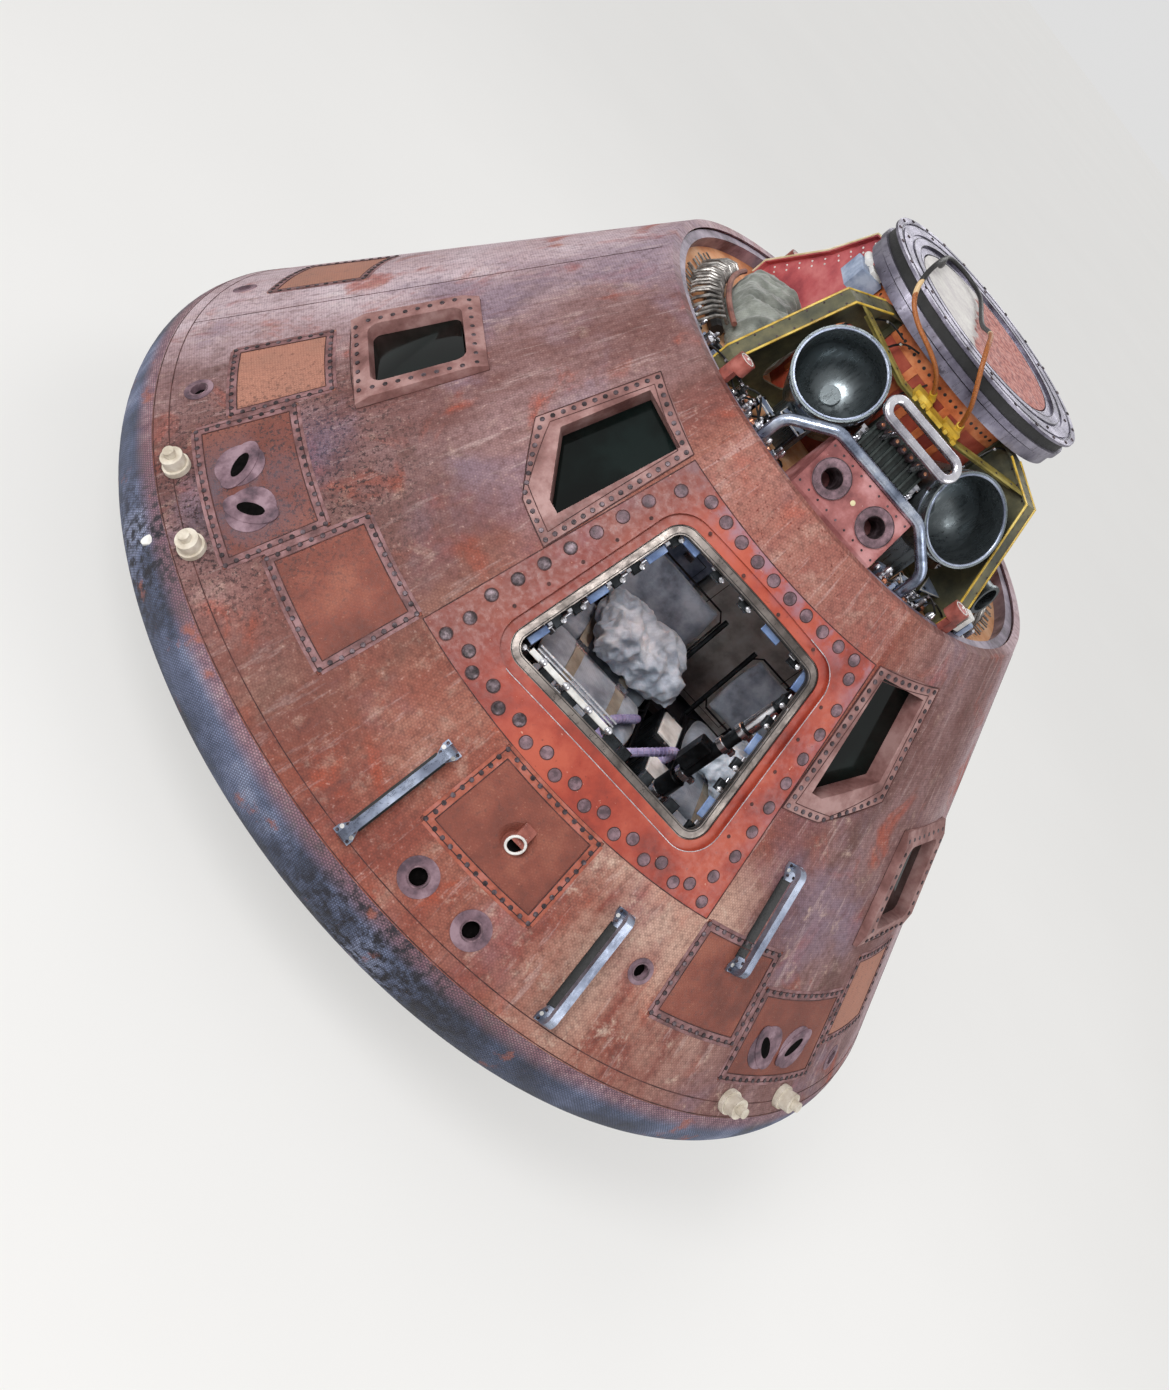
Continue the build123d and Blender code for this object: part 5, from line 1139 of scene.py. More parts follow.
# Forward bay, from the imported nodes
GUSSET_ROOT = 0.3953
GUSSET_HEIGHT = 0.527
FRONT_GUSSET = (44.0, 0.838, [(1.0, 0.0), (1.0, 0.18), (0.6, 0.911), (0.19, 0.977)])
REAR_GUSSET = (136.0, 0.86, [(1.0, 0.0), (1.0, 0.125), (0.656, 0.57), (0.462, 0.93), (0.237, 0.977)])
FLANGE_HALF = 0.031
WEB_HALF = 0.005
RIVET = [(0.0042, -0.001), (0.0042, 0.0012), (0.0024, 0.0022)]
RIVET_PITCH = 0.058
SCREW = [(0.0065, -0.001), (0.0065, 0.003), (0.005, 0.0042), (0.002, 0.0042)]
CAPS = [(-37.9, 0.88), (37.9, 0.88), (-142.1, 0.88), (142.1, 0.88)]
CAP_TOP = 2.232
MORTAR_MOUTH = (25.7, 0.727, 2.42)
MORTAR_AIM = (20.0, 32.0)
MORTAR_RADIUS = 0.155
BOX_FACE = (-0.841, 2.23)
BOX_NOZZLE_X = 0.104


def radial_point(azimuth, radius, z, aside=0.0):
    """Point at an azimuth, radius and height, moved aside along a tangent."""
    return level_place(azimuth, radius, z) @ Vector((aside, 0.0, 0.0))


def gusset_points(foot, outline):
    """Outline of a gusset as (radius, z), from its shares of reach and height."""
    return [(GUSSET_ROOT + u * (foot - GUSSET_ROOT), DECK_Z + v * GUSSET_HEIGHT) for u, v in outline]


def gusset_fittings():
    """Rivet rows on the webs and flanges of the gussets, and the bright edges of their flanges."""
    dark = Kit("front_gusset_rivets", "bolt_dark", "gusset_metal")
    pale = Kit("rear_gusset_rivets", "white", "gusset_metal")
    yellow = Kit("front_gusset_edges", "yellow", "yellow_metal")
    cream = Kit("rear_gusset_edges", "cream", "gusset_metal")
    for rivets, edges, (turn, foot, outline), insets in ((dark, yellow, FRONT_GUSSET, (0.02,)),
                                                         (pale, cream, REAR_GUSSET, (0.022, 0.042))):
        corners = gusset_points(foot, outline)
        for azimuth in (-turn, turn):
            for side in (-FLANGE_HALF, FLANGE_HALF):
                edges.tube([radial_point(azimuth, r, z, side) for r, z in corners], 0.0042, 6)
            for start, end in zip(corners[1:], corners[2:]):
                along = Vector((end[0] - start[0], end[1] - start[1]))
                length = along.length
                along.normalize()
                inwards = Vector((-along.y, along.x))
                if inwards.x > 0:
                    inwards = -inwards
                count = max(2, round(length / RIVET_PITCH))
                spots = [Vector(start) + along * (length * (i + 0.5) / count) for i in range(count)]
                for inset in insets:
                    for spot in spots:
                        place = level_place(azimuth, *(spot + inwards * inset))
                        for face in (-1, 1):
                            rivets.lathe(place @ at(face * WEB_HALF, 0, 0) @ spun(90 * face, "Y"), RIVET, 8)
                for spot in spots:
                    place = axes_place(radial_point(azimuth, *spot), level_way(azimuth, 1, 0, 0),
                                       level_way(azimuth, 0, along.y, along.x))
                    for aside in (-0.02, 0.02):
                        rivets.lathe(place @ at(aside, 0, 0), RIVET, 8)


# Black hoops of painted shade on the docking ring: inner and outer radius, low and high
RING_SHADE_HOOPS = [(0.455, 0.4595, 2.6525, 2.6565), (0.455, 0.4728, 2.6815, 2.7215),
              (0.4615, 0.464, 2.731, 2.733), (0.396, 0.3985, 2.731, 2.733), (0.364, 0.3655, 2.731, 2.733)]
RING_BOLT_Z = 2.732
STRIP_HOLE = [(0.0062, -0.0005), (0.0062, 0.0006), (0.002, 0.0006)]
TUNNEL_STRAPS = (-18.0, -6.0, 7.0, 19.0, 60.0, -66.0, 95.0, -100.0, 118.0, -160.0, 160.0)


def ring_fittings():
    """Black bands of painted shade in the docking ring's steps and grooves, bolts on its top, and the
    drilled strip under it, whose holes are black discs of painted shade.
    """
    black = Kit("docking_ring_shade_bands", "rubber")
    bolts = Kit("docking_ring_bolts", "bolt_dark")
    strip = Kit("tunnel_strip", "orange", "tunnel_paint")
    hole_shades = Kit("tunnel_strip_hole_shades", "rubber")
    straps = Kit("tunnel_straps", "orange", "tunnel_paint")
    # Black hoops on the ring's side and in its grooves: painted shadow and painted shade.
    for row in RING_SHADE_HOOPS:
        black.hoop(at(0, 0, 0), *row, 120)
    strip.hoop(at(0, 0, 0), 0.3945, 0.3985, 2.54, 2.596, 120)
    for azimuth in range(0, 360, 15):
        for radius in (0.474,) if azimuth % 45 else (0.474, 0.43):
            bolts.lathe(level_place(azimuth + 4, radius, RING_BOLT_Z), SCREW, 8)
    # Black discs for the strip's holes: painted shade.
    for azimuth in range(0, 360, 4):
        hole_shades.lathe(level_place(azimuth, 0.3984, 2.568) @ spun(90, "X"), STRIP_HOLE, 10)
    for azimuth in TUNNEL_STRAPS:
        route = [radial_point(azimuth, 0.3965, z) for z in (2.15, 2.35, 2.54)]
        for start, end in zip(route, route[1:]):
            place = axes_place((start + end) / 2, level_way(azimuth, 1, 0, 0), level_way(azimuth, 0, -1, 0))
            straps.slab(place, (0.03, (end - start).length, 0.0022))
        for z in (2.2, 2.34, 2.48):
            bolts.lathe(level_place(azimuth, 0.3985, z) @ spun(90, "X"), SCREW, 8)


def cap_fittings():
    """Pale rings and pink discs of the caps at the feet of the gussets."""
    rings = Kit("cap_rings", "white", "cap_paint")
    discs = Kit("cap_discs", "pink", "cap_paint")
    for azimuth, radius in CAPS:
        place = level_place(azimuth, radius, CAP_TOP)
        rings.hoop(place, 0.0235, 0.0272, -0.0045, 0.0008, 28)
        discs.lathe(place, [(0.0205, -0.0045), (0.0205, -0.0005), (0.017, 0.0012), (0.006, 0.0018)], 24)
        rings.lathe(place, [(0.005, 0.0), (0.005, 0.004), (0.003, 0.0052)], 8)


def mortar_fittings():
    """Rims and lugs of the two large mortars."""
    rims = Kit("mortar_rims", "rail", "mortar_metal")
    lugs = Kit("mortar_lugs", "bolt_dark")
    azimuth, radius, z = MORTAR_MOUTH
    aim, rise = MORTAR_AIM
    for side in (-1, 1):
        axis = level_way(side * aim, 0, -1, 0) * cos(radians(rise)) + Vector((0, 0, sin(radians(rise))))
        mouth = axes_place(radial_point(side * azimuth, radius, z), (cos(radians(aim)), 0, 0), axis)
        rims.hoop(mouth, MORTAR_RADIUS - 0.0095, MORTAR_RADIUS - 0.0015, -0.004, 0.0022, 64)
        rims.hoop(mouth, MORTAR_RADIUS - 0.001, MORTAR_RADIUS + 0.0035, -0.052, -0.044, 64)
        for i in range(10):
            place = mouth @ spun(i * 36 + 10) @ at(MORTAR_RADIUS + 0.001, 0, -0.048)
            lugs.slab(place @ spun(90, "Y"), (0.016, 0.012, 0.006))


def engine_box_fittings():
    """Rings and liners of the engine box's two nozzles, its stud and its rivets."""
    rings = Kit("engine_box_rings", "plug", "nozzle_liner")
    liners = Kit("engine_box_liners", "bolt_dark", "nozzle_liner")
    studs = Kit("engine_box_studs", "cream", "peg_white")
    face = axes_place((0.0, *BOX_FACE), (1, 0, 0), (0.0, -cos(CONE_ANGLE), sin(CONE_ANGLE)))
    for x in (-BOX_NOZZLE_X, BOX_NOZZLE_X):
        place = at(x, 0, 0) @ face
        rings.hoop(place, 0.0375, 0.067, 0.0045, 0.0068, 48)
        liners.hoop(place, 0.064, 0.0665, 0.006, 0.0078, 48)
        liners.lathe(place, [(0.0368, -0.1), (0.0368, 0.006), (0.0352, 0.006), (0.029, -0.1)], 32, True)
    studs.lathe(face, [(0.009, -0.001), (0.009, 0.0018), (0.004, 0.003)], 16)
    for y in (-0.078, 0.078):
        for i in range(9):
            liners.lathe(face @ at(-0.172 + i * 0.043, y, 0.0), RIVET, 8)


KNOB = [(0.0125, -0.03), (0.0125, 0.004), (0.015, 0.007), (0.015, 0.02), (0.011, 0.026), (0.006, 0.027)]
KNOB_TIP = [(0.006, 0.026), (0.006, 0.03), (0.003, 0.032)]
LATCH_X = 0.128
# Beam bolts stand at this height, and rise with the beam's ends outside its level middle
BEAM_BOLT_Y, BEAM_BOLT_Z = -0.462, 2.507
BEAM_LEVEL_HALF = 0.13
BEAM_RISE = 0.236


def unit_fittings():
    """Knobs and latches of the finned unit, and bolts of the beam."""
    knobs = Kit("finned_unit_knobs", "bolt_dark", "fin_metal")
    tips = Kit("finned_unit_knob_tips", "copper", "fin_metal")
    latches = Kit("finned_unit_latches", "chrome", "handhold_metal")
    bolts = Kit("beam_bolts", "bolt_dark")
    for i in range(7):
        place = axes_place((-0.105 + i * 0.035, -0.652, 2.405), (1, 0, 0), (0, -0.82, 0.57))
        knobs.lathe(place, KNOB, 14)
        tips.lathe(place, KNOB_TIP, 10)
    for side in (-1, 1):
        place = axes_place((side * LATCH_X, -0.66, 2.335), (1, 0, 0), (0, -0.6, 0.8))
        latches.slab(place, (0.018, 0.074, 0.016))
        latches.slab(place @ at(0, 0.022, 0.016), (0.03, 0.016, 0.008))
        latches.lathe(place @ at(0, -0.022, 0.015), [(0.01, 0.0), (0.01, 0.01), (0.006, 0.014)], 12)
        lever = [(LATCH_X, -0.668, 2.33), (0.15, -0.7, 2.3), (0.15, -0.7, 2.27)]
        latches.tube([(side * x, y, z) for x, y, z in lever], 0.0045, 8)
    for i in range(13):
        x = -0.36 + i * 0.06
        rise = max(0.0, abs(x) - BEAM_LEVEL_HALF) * BEAM_RISE
        bolts.lathe(at(x, BEAM_BOLT_Y, BEAM_BOLT_Z + rise), RIVET, 8)


# Spans of azimuth of the clips round the canvas pouches
CLIP_SPANS = [(-61.0, -106.0), (66.0, 108.0)]
# A clip's finger and its tip: share of the lean, radius, share of the reach, z
FINGER = [(0, 0.712, 0, 2.15), (0, 0.742, 0, 2.163), (0.5, 0.775, 1, 2.146), (1, 0.8, 1, 2.11),
          (1, 0.808, 1, 2.088)]
FINGER_TIP = [(1, 0.806, 1, 2.096), (1, 0.846, 1, 2.1)]


def pouch_clips():
    """Fingers of metal fanned out on the deck round each pouch, the tube that edges it, and a black tube
    under the fingers that paints the shade between them.
    """
    fingers = Kit("pouch_clips", "clip", "handhold_metal")
    clip_shade = Kit("pouch_clip_shade", "rubber")
    edging = Kit("pouch_edging", "brown", "tunnel_paint")
    for start, end in CLIP_SPANS:
        count = round(abs(end - start) * 0.44)
        for i in range(count):
            azimuth = start + (end - start) * (i + 0.5) / count
            lean = random.uniform(-1.2, 1.2)
            reach = random.uniform(-0.006, 0.006)
            for spots, radius, sides in ((FINGER, 0.0066, 8), (FINGER_TIP, 0.0035, 6)):
                fingers.tube([radial_point(azimuth + lean * leant, r + reach * reached, z)
                              for leant, r, reached, z in spots], radius, sides)
        steps = [start + (end - start) * k / 24 for k in range(25)]
        edging.tube([radial_point(a, 0.703, 2.17) for a in steps], 0.0105, 8)
        # Black tube under the fingers: painted shade between them.
        clip_shade.tube([radial_point(a, 0.728, 2.112) for a in steps], 0.026, 8)


# Blue-grey plates that stand over the deck: corners as (x, y), height of the top
BAY_PLATES = [
    ([(0.423, -0.638), (0.556, -0.495), (0.618, -0.177), (0.491, -0.302)], 2.15),
    ([(-0.345, -0.7), (-0.255, -0.725), (-0.235, -0.64), (-0.33, -0.615)], 2.205),
    ([(-0.42, -0.64), (-0.352, -0.672), (-0.336, -0.625), (-0.4, -0.59)], 2.16),
    ([(0.352, -0.69), (0.42, -0.655), (0.4, -0.6), (0.335, -0.64)], 2.135),
]


RED_PLATE = [(0.63, -0.3), (0.7, -0.24), (0.69, -0.13), (0.62, -0.19)]


def bay_plates():
    """Plates, boxes and brackets in the forward bay, each on its own feet."""
    plates = Kit("bay_plates", "blue_grey", "cabin_metal")
    edges = Kit("bay_plate_edges", "white", "peg_white")
    legs = Kit("bay_plate_feet", "dark")
    red = Kit("bay_red_plates", "orange", "tunnel_paint")
    for corners, top in BAY_PLATES:
        plates.plate(at(0, 0, top), corners, -0.006, 0.0)
        middle = sum((Vector(corner) for corner in corners), Vector((0, 0))) / 4
        for corner in corners:
            x, y = Vector(corner) + (middle - Vector(corner)) * 0.16
            legs.tube([(x, y, DECK_Z - 0.001), (x, y, top - 0.003)], 0.006, 8)
            legs.lathe(at(x, y, top), SCREW, 8)
        ring = [(*corner, top - 0.001) for corner in corners]
        edges.tube(ring + ring[:1], 0.0022, 6)
    box = level_place(-74.3, 0.452, 2.5)
    plates.slab(box, (0.12, 0.098, 0.085), 0.004)
    edges.slab(box @ at(0.02, 0.012, 0.085), (0.06, 0.05, 0.016), 0.003)
    edges.tube([box @ Vector((-0.062, -0.02, 0.098)), box @ Vector((0.0, -0.026, 0.098))], 0.015, 14)
    legs.tube([box @ Vector((0.0, 0.052, 0.02)), box @ Vector((0.0, 0.02, 0.02))], 0.012, 8)
    red.plate(at(0, 0, 2.128), RED_PLATE, -0.006, 0.0)
    for x, y in ((0.65, -0.27), (0.675, -0.17)):
        legs.tube([(x, y, DECK_Z - 0.001), (x, y, 2.125)], 0.006, 8)
    bracket = level_place(43.0, 0.868, 2.15)
    edges.slab(bracket, (0.03, 0.04, 0.075), 0.004)
    plates.slab(bracket @ at(0.034, 0, -0.012), (0.032, 0.044, 0.06), 0.004)


# Spans of azimuth where small fittings crowd the deck along the rim: start, end, how many
CLUTTER = [(-37.0, -16.0, 30), (16.0, 37.0, 30), (-60.0, -47.0, 10), (47.0, 58.0, 8), (-31.0, -25.0, 8)]
# Wires as (azimuth, radius, z) points
WIRES = [
    [(-50, 0.83, 2.12), (-42, 0.86, 2.16), (-35, 0.84, 2.13), (-30, 0.85, 2.17), (-24, 0.83, 2.12)],
    [(-46, 0.8, 2.1), (-38, 0.81, 2.15), (-31, 0.79, 2.11), (-26, 0.8, 2.16), (-20, 0.84, 2.11)],
    [(-40, 0.88, 2.2), (-35, 0.86, 2.17), (-31, 0.83, 2.19), (-27, 0.8, 2.12)],
    [(36, 0.86, 2.15), (31, 0.84, 2.18), (27, 0.85, 2.12), (22, 0.83, 2.14), (17, 0.84, 2.1)],
    [(45, 0.82, 2.12), (38, 0.8, 2.15), (32, 0.81, 2.1), (25, 0.79, 2.13)],
    [(-56, 0.47, 2.3), (-50, 0.52, 2.4), (-46, 0.5, 2.5), (-40, 0.47, 2.57), (-30, 0.46, 2.58)],
    [(-36, 0.43, 2.1), (-33, 0.44, 2.3), (-35, 0.43, 2.45), (-30, 0.44, 2.56), (-22, 0.43, 2.59)],
    [(33, 0.43, 2.12), (36, 0.44, 2.3), (32, 0.45, 2.46), (36, 0.44, 2.57), (44, 0.44, 2.59)],
    [(50, 0.46, 2.58), (47, 0.5, 2.56), (50, 0.56, 2.5), (46, 0.6, 2.4), (50, 0.66, 2.3)],
    [(-14, 0.42, 2.09), (-11, 0.43, 2.25), (-14, 0.42, 2.42), (-9, 0.43, 2.55)],
]


COLLAR = (0.342, -0.79)
FERRULE = [(0.032, 0.0), (0.032, 0.01), (0.0235, 0.014), (0.0235, 0.04)]


def bay_clutter():
    """Clamps, bolts, small boxes and wires crowded on the deck behind the rim."""
    silver = Kit("bay_clamps", "chrome", "handhold_metal")
    dark = Kit("bay_small_boxes", "dark")
    pale = Kit("bay_small_plates", "blue_grey", "cabin_metal")
    copper = Kit("bay_couplings", "copper", "tunnel_paint")
    wires = Kit("bay_wires", "rubber", "cable_sheath")
    # Blocks by kind: ranges of width, depth and height, and the bevel
    blocks = {0: (silver, ((0.02, 0.05), (0.012, 0.022), (0.015, 0.06)), 0.002),
              2: (dark, ((0.03, 0.06), (0.02, 0.04), (0.02, 0.05)), 0.003),
              3: (pale, ((0.02, 0.05), (0.01, 0.03), (0.02, 0.06)), 0.002)}
    for start, end, count in CLUTTER:
        for i in range(count):
            azimuth = start + (end - start) * (i + random.random()) / count
            radius = random.uniform(0.775, 0.868)
            place = level_place(azimuth, radius, DECK_Z - 0.001, random.uniform(0, 180))
            kind = i % 5
            if kind in blocks:
                kit, ranges, bevel = blocks[kind]
                kit.slab(place, [random.uniform(*span) for span in ranges], bevel)
            if kind == 0:
                silver.lathe(place @ at(0, 0, 0.03), [(0.008, 0.0), (0.008, 0.035), (0.004, 0.04)], 10)
            elif kind == 1:
                wide = random.uniform(0.006, 0.014)
                high = random.uniform(0.03, 0.085)
                silver.lathe(place, [(wide, 0.0), (wide, high * 0.6), (wide * 1.4, high * 0.62),
                                     (wide * 1.4, high * 0.8), (wide * 0.7, high)], 10)
            elif kind == 4:
                high = random.uniform(0.03, 0.06)
                copper.lathe(place, [(0.009, 0.0), (0.009, high * 0.5), (0.013, high * 0.55),
                                     (0.013, high * 0.8), (0.006, high)], 10)
    for spots in WIRES:
        points = [radial_point(*spot) for spot in spots]
        wires.tube(smooth_route(points), 0.0038, 6)
        for x, y, z in points[1:-1]:
            silver.lathe(at(x, y, z - 0.004), [(0.0065, 0.0), (0.0065, 0.008)], 8)
    for side in (-1, 1):
        collar = at(side * COLLAR[0], COLLAR[1], DECK_Z)
        silver.lathe(collar, FERRULE, 20)
        for i in range(4):
            dark.lathe(collar @ spun(45 + i * 90) @ at(0.027, 0, 0.01), RIVET, 8)


def smooth_route(points, steps=6):
    """Points along a smooth line through those points."""
    route = []
    for i in range(len(points) - 1):
        before, start, end, after = (points[max(0, min(len(points) - 1, i + k))] for k in (-1, 0, 1, 2))
        for k in range(steps):
            t = k / steps
            square = 2 * before - 5 * start + 4 * end - after
            cube = 3 * start - before - 3 * end + after
            route.append(0.5 * (2 * start + (end - before) * t + square * t ** 2 + cube * t ** 3))
    return route + [points[-1]]


# Padded pieces: voxel, pressure and frames of the cloth run
VOXEL = 0.008
PRESSURE = 4.0
CLOTH_FRAMES = 20


def baked(piece):
    """Mesh of a piece with its modifiers applied."""
    graph = bpy.context.evaluated_depsgraph_get()
    return bpy.data.meshes.new_from_object(piece.evaluated_get(graph))


def swollen(name, points, faces, cap, voxel=VOXEL):
    """Mesh of a closed form, remeshed and blown up as cloth, where no point moves further than the cap."""
    scene = bpy.context.scene
    mesh = bpy.data.meshes.new(name)
    mesh.from_pydata([tuple(point) for point in points], [], faces)
    piece = linked(name, mesh)
    remesh = piece.modifiers.new("remesh", "REMESH")
    remesh.mode = "VOXEL"
    remesh.voxel_size = voxel
    piece.data = baked(piece)
    piece.modifiers.clear()
    start = [vertex.co.copy() for vertex in piece.data.vertices]
    cloth = piece.modifiers.new("cloth", "CLOTH")
    cloth.settings.use_pressure = True
    cloth.settings.uniform_pressure_force = PRESSURE
    cloth.settings.effector_weights.gravity = 0.0
    cloth.point_cache.frame_start = 1
    cloth.point_cache.frame_end = CLOTH_FRAMES
    for step in range(1, CLOTH_FRAMES + 1):
        scene.frame_set(step)
    blown = baked(piece)
    piece.modifiers.clear()
    scene.frame_set(1)
    for vertex, was, now in zip(piece.data.vertices, start, blown.vertices):
        move = now.co - was
        vertex.co = was + move * min(1.0, cap / max(move.length, 1e-9))
    result = piece.data
    bpy.data.objects.remove(piece)
    return result


def folded(mesh, depth, stretch, seed=0.0):
    """Creases pressed into a mesh: ridges of noise stretched by a factor along each axis."""
    normals = [vertex.normal.copy() for vertex in mesh.vertices]
    for vertex, normal in zip(mesh.vertices, normals):
        spot = Vector(value * factor + seed for value, factor in zip(vertex.co, stretch))
        ridge = 1.0 - 2.2 * abs(noise.noise(spot)) - 1.1 * abs(noise.noise(spot * 2.3))
        vertex.co += normal * depth * (ridge - 0.45)


def soft_piece(name, mesh, look, stands_for=()):
    """A padded piece from a finished mesh."""
    mesh.name = name
    mesh.shade_smooth()
    mesh.materials.clear()
    mesh.materials.append(LOOKS[look])
    piece = linked(name, mesh)
    piece.modifiers.new("smooth", "SUBSURF").levels = 1
    piece.modifiers["smooth"].render_levels = 1
    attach(piece, "capsule")
    if stands_for:
        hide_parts(*stands_for)
    return piece


def pillow_form(size, steps=6, power=0.35, rings=12):
    """Closed form with crowned faces: points and faces of a rounded slab about the origin."""
    points = []
    count = 4 * steps
    for i in range(rings + 1):
        level = -1 + 2 * i / rings
        swell = (1 - abs(level) ** 4) ** power
        for turn in turns(count):
            x, y = cos(turn), sin(turn)
            wide = swell / max(abs(x), abs(y)) ** 0.82
            points.append((x * wide * size[0] / 2, y * wide * size[1] / 2, level * size[2] / 2))
    return points, skin(count, rings + 1)


def joined(name, mesh, places):
    """One mesh with a copy of another at each place."""
    points, faces = [], []
    for place in places:
        start = len(points)
        points += [tuple(place @ vertex.co) for vertex in mesh.vertices]
        faces += [[start + corner for corner in polygon.vertices] for polygon in mesh.polygons]
    result = bpy.data.meshes.new(name)
    result.from_pydata(points, [], faces)
    return result


COUCH_SIDES = [("couch_left", -0.69), ("couch_centre", 0.0), ("couch_right", 0.69)]
CUSHION = (0.492, 0.288, 0.074)
CUSHION_SWELL = 0.011
CUSHION_VOXEL = 0.011
COUCH_MIDDLE_Z = 1.0075
COUCH_TOP_Z = 1.062
LEG_PAD = (-0.125, 1.19, 75.0)     # y and z of its middle, its tilt in degrees


CUSHION_FIRST_Y, CUSHION_PITCH = -0.993, 0.313
PIPING_GAP = 0.004
CUSHION_CUT = 0.03          # off the corners of the piping
# Rails of a pan and straps of a couch: distance from its middle, then (y, z) along them
RAIL_X = 0.262
RAIL = [(-1.145, 0.985), (-0.215, 0.985), (-0.105, 1.33)]
STRAP_X = 0.105
STRAP = [(-1.13, 1.05), (-1.0, 1.058), (-0.84, 1.05), (-0.69, 1.058), (-0.53, 1.05), (-0.4, 1.06),
         (-0.27, 1.064)]


def chamfered(x, y, cut):
    """Rectangle of those half sizes with its corners cut off, counterclockwise."""
    return [(x - cut, -y), (x, -y + cut), (x, y - cut), (x - cut, y),
            (-x + cut, y), (-x, y - cut), (-x, -y + cut), (-x + cut, -y)]


def couches():
    """Three couches, each of four stitched cushions on a pan, with straps, buckles and piping."""
    cushion = swollen("cushion", *pillow_form(CUSHION, 6, 0.16), CUSHION_SWELL, CUSHION_VOXEL)
    piping = Kit("couch_piping", "rubber", "couch_fabric")
    pans = Kit("couch_pans", "dark")
    straps = Kit("couch_straps", "strap", "couch_fabric")
    buckles = Kit("couch_buckles", "chrome", "handhold_metal")
    hem = chamfered(CUSHION[0] / 2 + PIPING_GAP, CUSHION[1] / 2 + PIPING_GAP, CUSHION_CUT)
    leg_y, leg_z, tilt = LEG_PAD
    for name, x in COUCH_SIDES:
        places = [at(x, CUSHION_FIRST_Y + i * CUSHION_PITCH, COUCH_MIDDLE_Z) for i in range(3)]
        places.append(at(x, leg_y, leg_z) @ spun(tilt, "X") @ Matrix.Diagonal((1.0, 0.98, 0.95, 1.0)))
        soft_piece(f"{name}_cushions", joined(name, cushion, places), "couch", (name,))
        for place in places:
            piping.tube([place @ Vector((*spot, 0.0)) for spot in hem + hem[:1]], 0.0042, 6)
        pans.slab(at(x, -0.68, 0.9612), (0.5, 0.93, 0.006), 0.002)
        for side in (-1, 1):
            pans.tube([(x + side * RAIL_X, y, z) for y, z in RAIL], 0.011, 8)
            route = [Vector((x + side * STRAP_X, y, z)) for y, z in STRAP]
            for start, end in zip(route, route[1:]):
                place = axes_place((start + end) / 2, (1, 0, 0), (end - start).cross(Vector((-1, 0, 0))))
                straps.slab(place, (0.044, (end - start).length + 0.004, 0.0028), 0.0008)
            for y in (-0.94, -0.6):
                buckles.slab(at(x + side * STRAP_X, y, 1.0575), (0.056, 0.04, 0.007), 0.002)


# Section of a canvas pouch inside its solid, as (radius, z)
POUCH_SECTION = [(0.448, 2.098), (0.56, 2.096), (0.682, 2.098), (0.684, 2.15), (0.67, 2.226), (0.64, 2.246),
                 (0.515, 2.284), (0.48, 2.282), (0.449, 2.262)]
POUCHES = [("canvas_pouch_left", -112.0, -56.0), ("canvas_pouch_right", 62.0, 112.0)]
POUCH_SWELL = 0.01
POUCH_MARGIN = 1.6          # of azimuth left free at each end


POUCH_STEPS = 28
POUCH_PINCH = (0.8, 0.94, 0.985)    # size of its first sections, from each end
POUCH_FOOT = (0.565, 2.096)         # radius and z that the sections shrink towards


def canvas_pouches():
    """Canvas pouches with draped folds, the right one mirrored from the left."""
    (name, start, end), (_, right_start, right_end) = POUCHES
    points = []
    for k in range(POUCH_STEPS + 1):
        azimuth = start + POUCH_MARGIN + (end - start - 2 * POUCH_MARGIN) * k / POUCH_STEPS
        close = min(k, POUCH_STEPS - k)
        pinch = POUCH_PINCH[close] if close < 3 else 1.0
        sag = 0.94 + 0.06 * cos(k * 1.15) * (1 if close > 3 else 0.3)
        foot, foot_z = POUCH_FOOT
        points += [radial_point(azimuth, foot + (r - foot) * pinch, foot_z + (z - foot_z) * pinch * sag)
                   for r, z in POUCH_SECTION]
    left = swollen(name, points, skin(len(POUCH_SECTION), POUCH_STEPS + 1), POUCH_SWELL)
    folded(left, 0.01, (13.0, 20.0, 6.0))
    right = left.copy()
    for vertex in right.vertices:
        x, y, z = vertex.co
        share = (degrees(atan2(x, -y)) - start) / (end - start)
        vertex.co = radial_point(right_end + (right_start - right_end) * share, hypot(x, y), z)
    right.flip_normals()
    for (name, _, _), mesh in zip(POUCHES, (left, right)):
        soft_piece(f"{name}_cloth", mesh, "canvas", (name,))


# Bags on the couches: name, middle, size, spin
BAGS = [
    ("stowage_bag", (0.06, -0.44, 1.15), (0.4, 0.33, 0.176), 12.0),
    ("stowage_bag_small", (0.66, -0.52, 1.14), (0.33, 0.42, 0.156), -18.0),
]


def stowage_bags():
    """Crumpled silver-blue bags that lie on the couches."""
    for seed, (name, middle, size, spin) in enumerate(BAGS):
        points, faces = pillow_form(size, 8, 0.45)
        mesh = swollen(name, points, faces, 0.014)
        folded(mesh, 0.026, (12.0, 9.0, 10.0), 3.7 * (seed + 1))
        place = at(*middle) @ spun(spin)
        for vertex in mesh.vertices:
            vertex.co = place @ vertex.co
            vertex.co.z = max(vertex.co.z, COUCH_TOP_Z)
        soft_piece(name, mesh, "blanket")


# Lockers behind the couches: middle of the foot, size, look
LOCKERS = [
    ((-0.62, 0.76, 0.674), (0.52, 0.48, 0.56), "blue_grey"),
    ((-0.05, 0.82, 0.674), (0.56, 0.44, 0.48), "blue_grey"),
    ((0.54, 0.76, 0.674), (0.54, 0.48, 0.62), "white"),
    ((-0.35, 0.96, 1.16), (0.42, 0.2, 0.2), "white"),
    ((0.23, 0.95, 1.16), (0.4, 0.22, 0.24), "blue_grey"),
]


STRUT_X, STRUT_Y = 0.345, -1.05
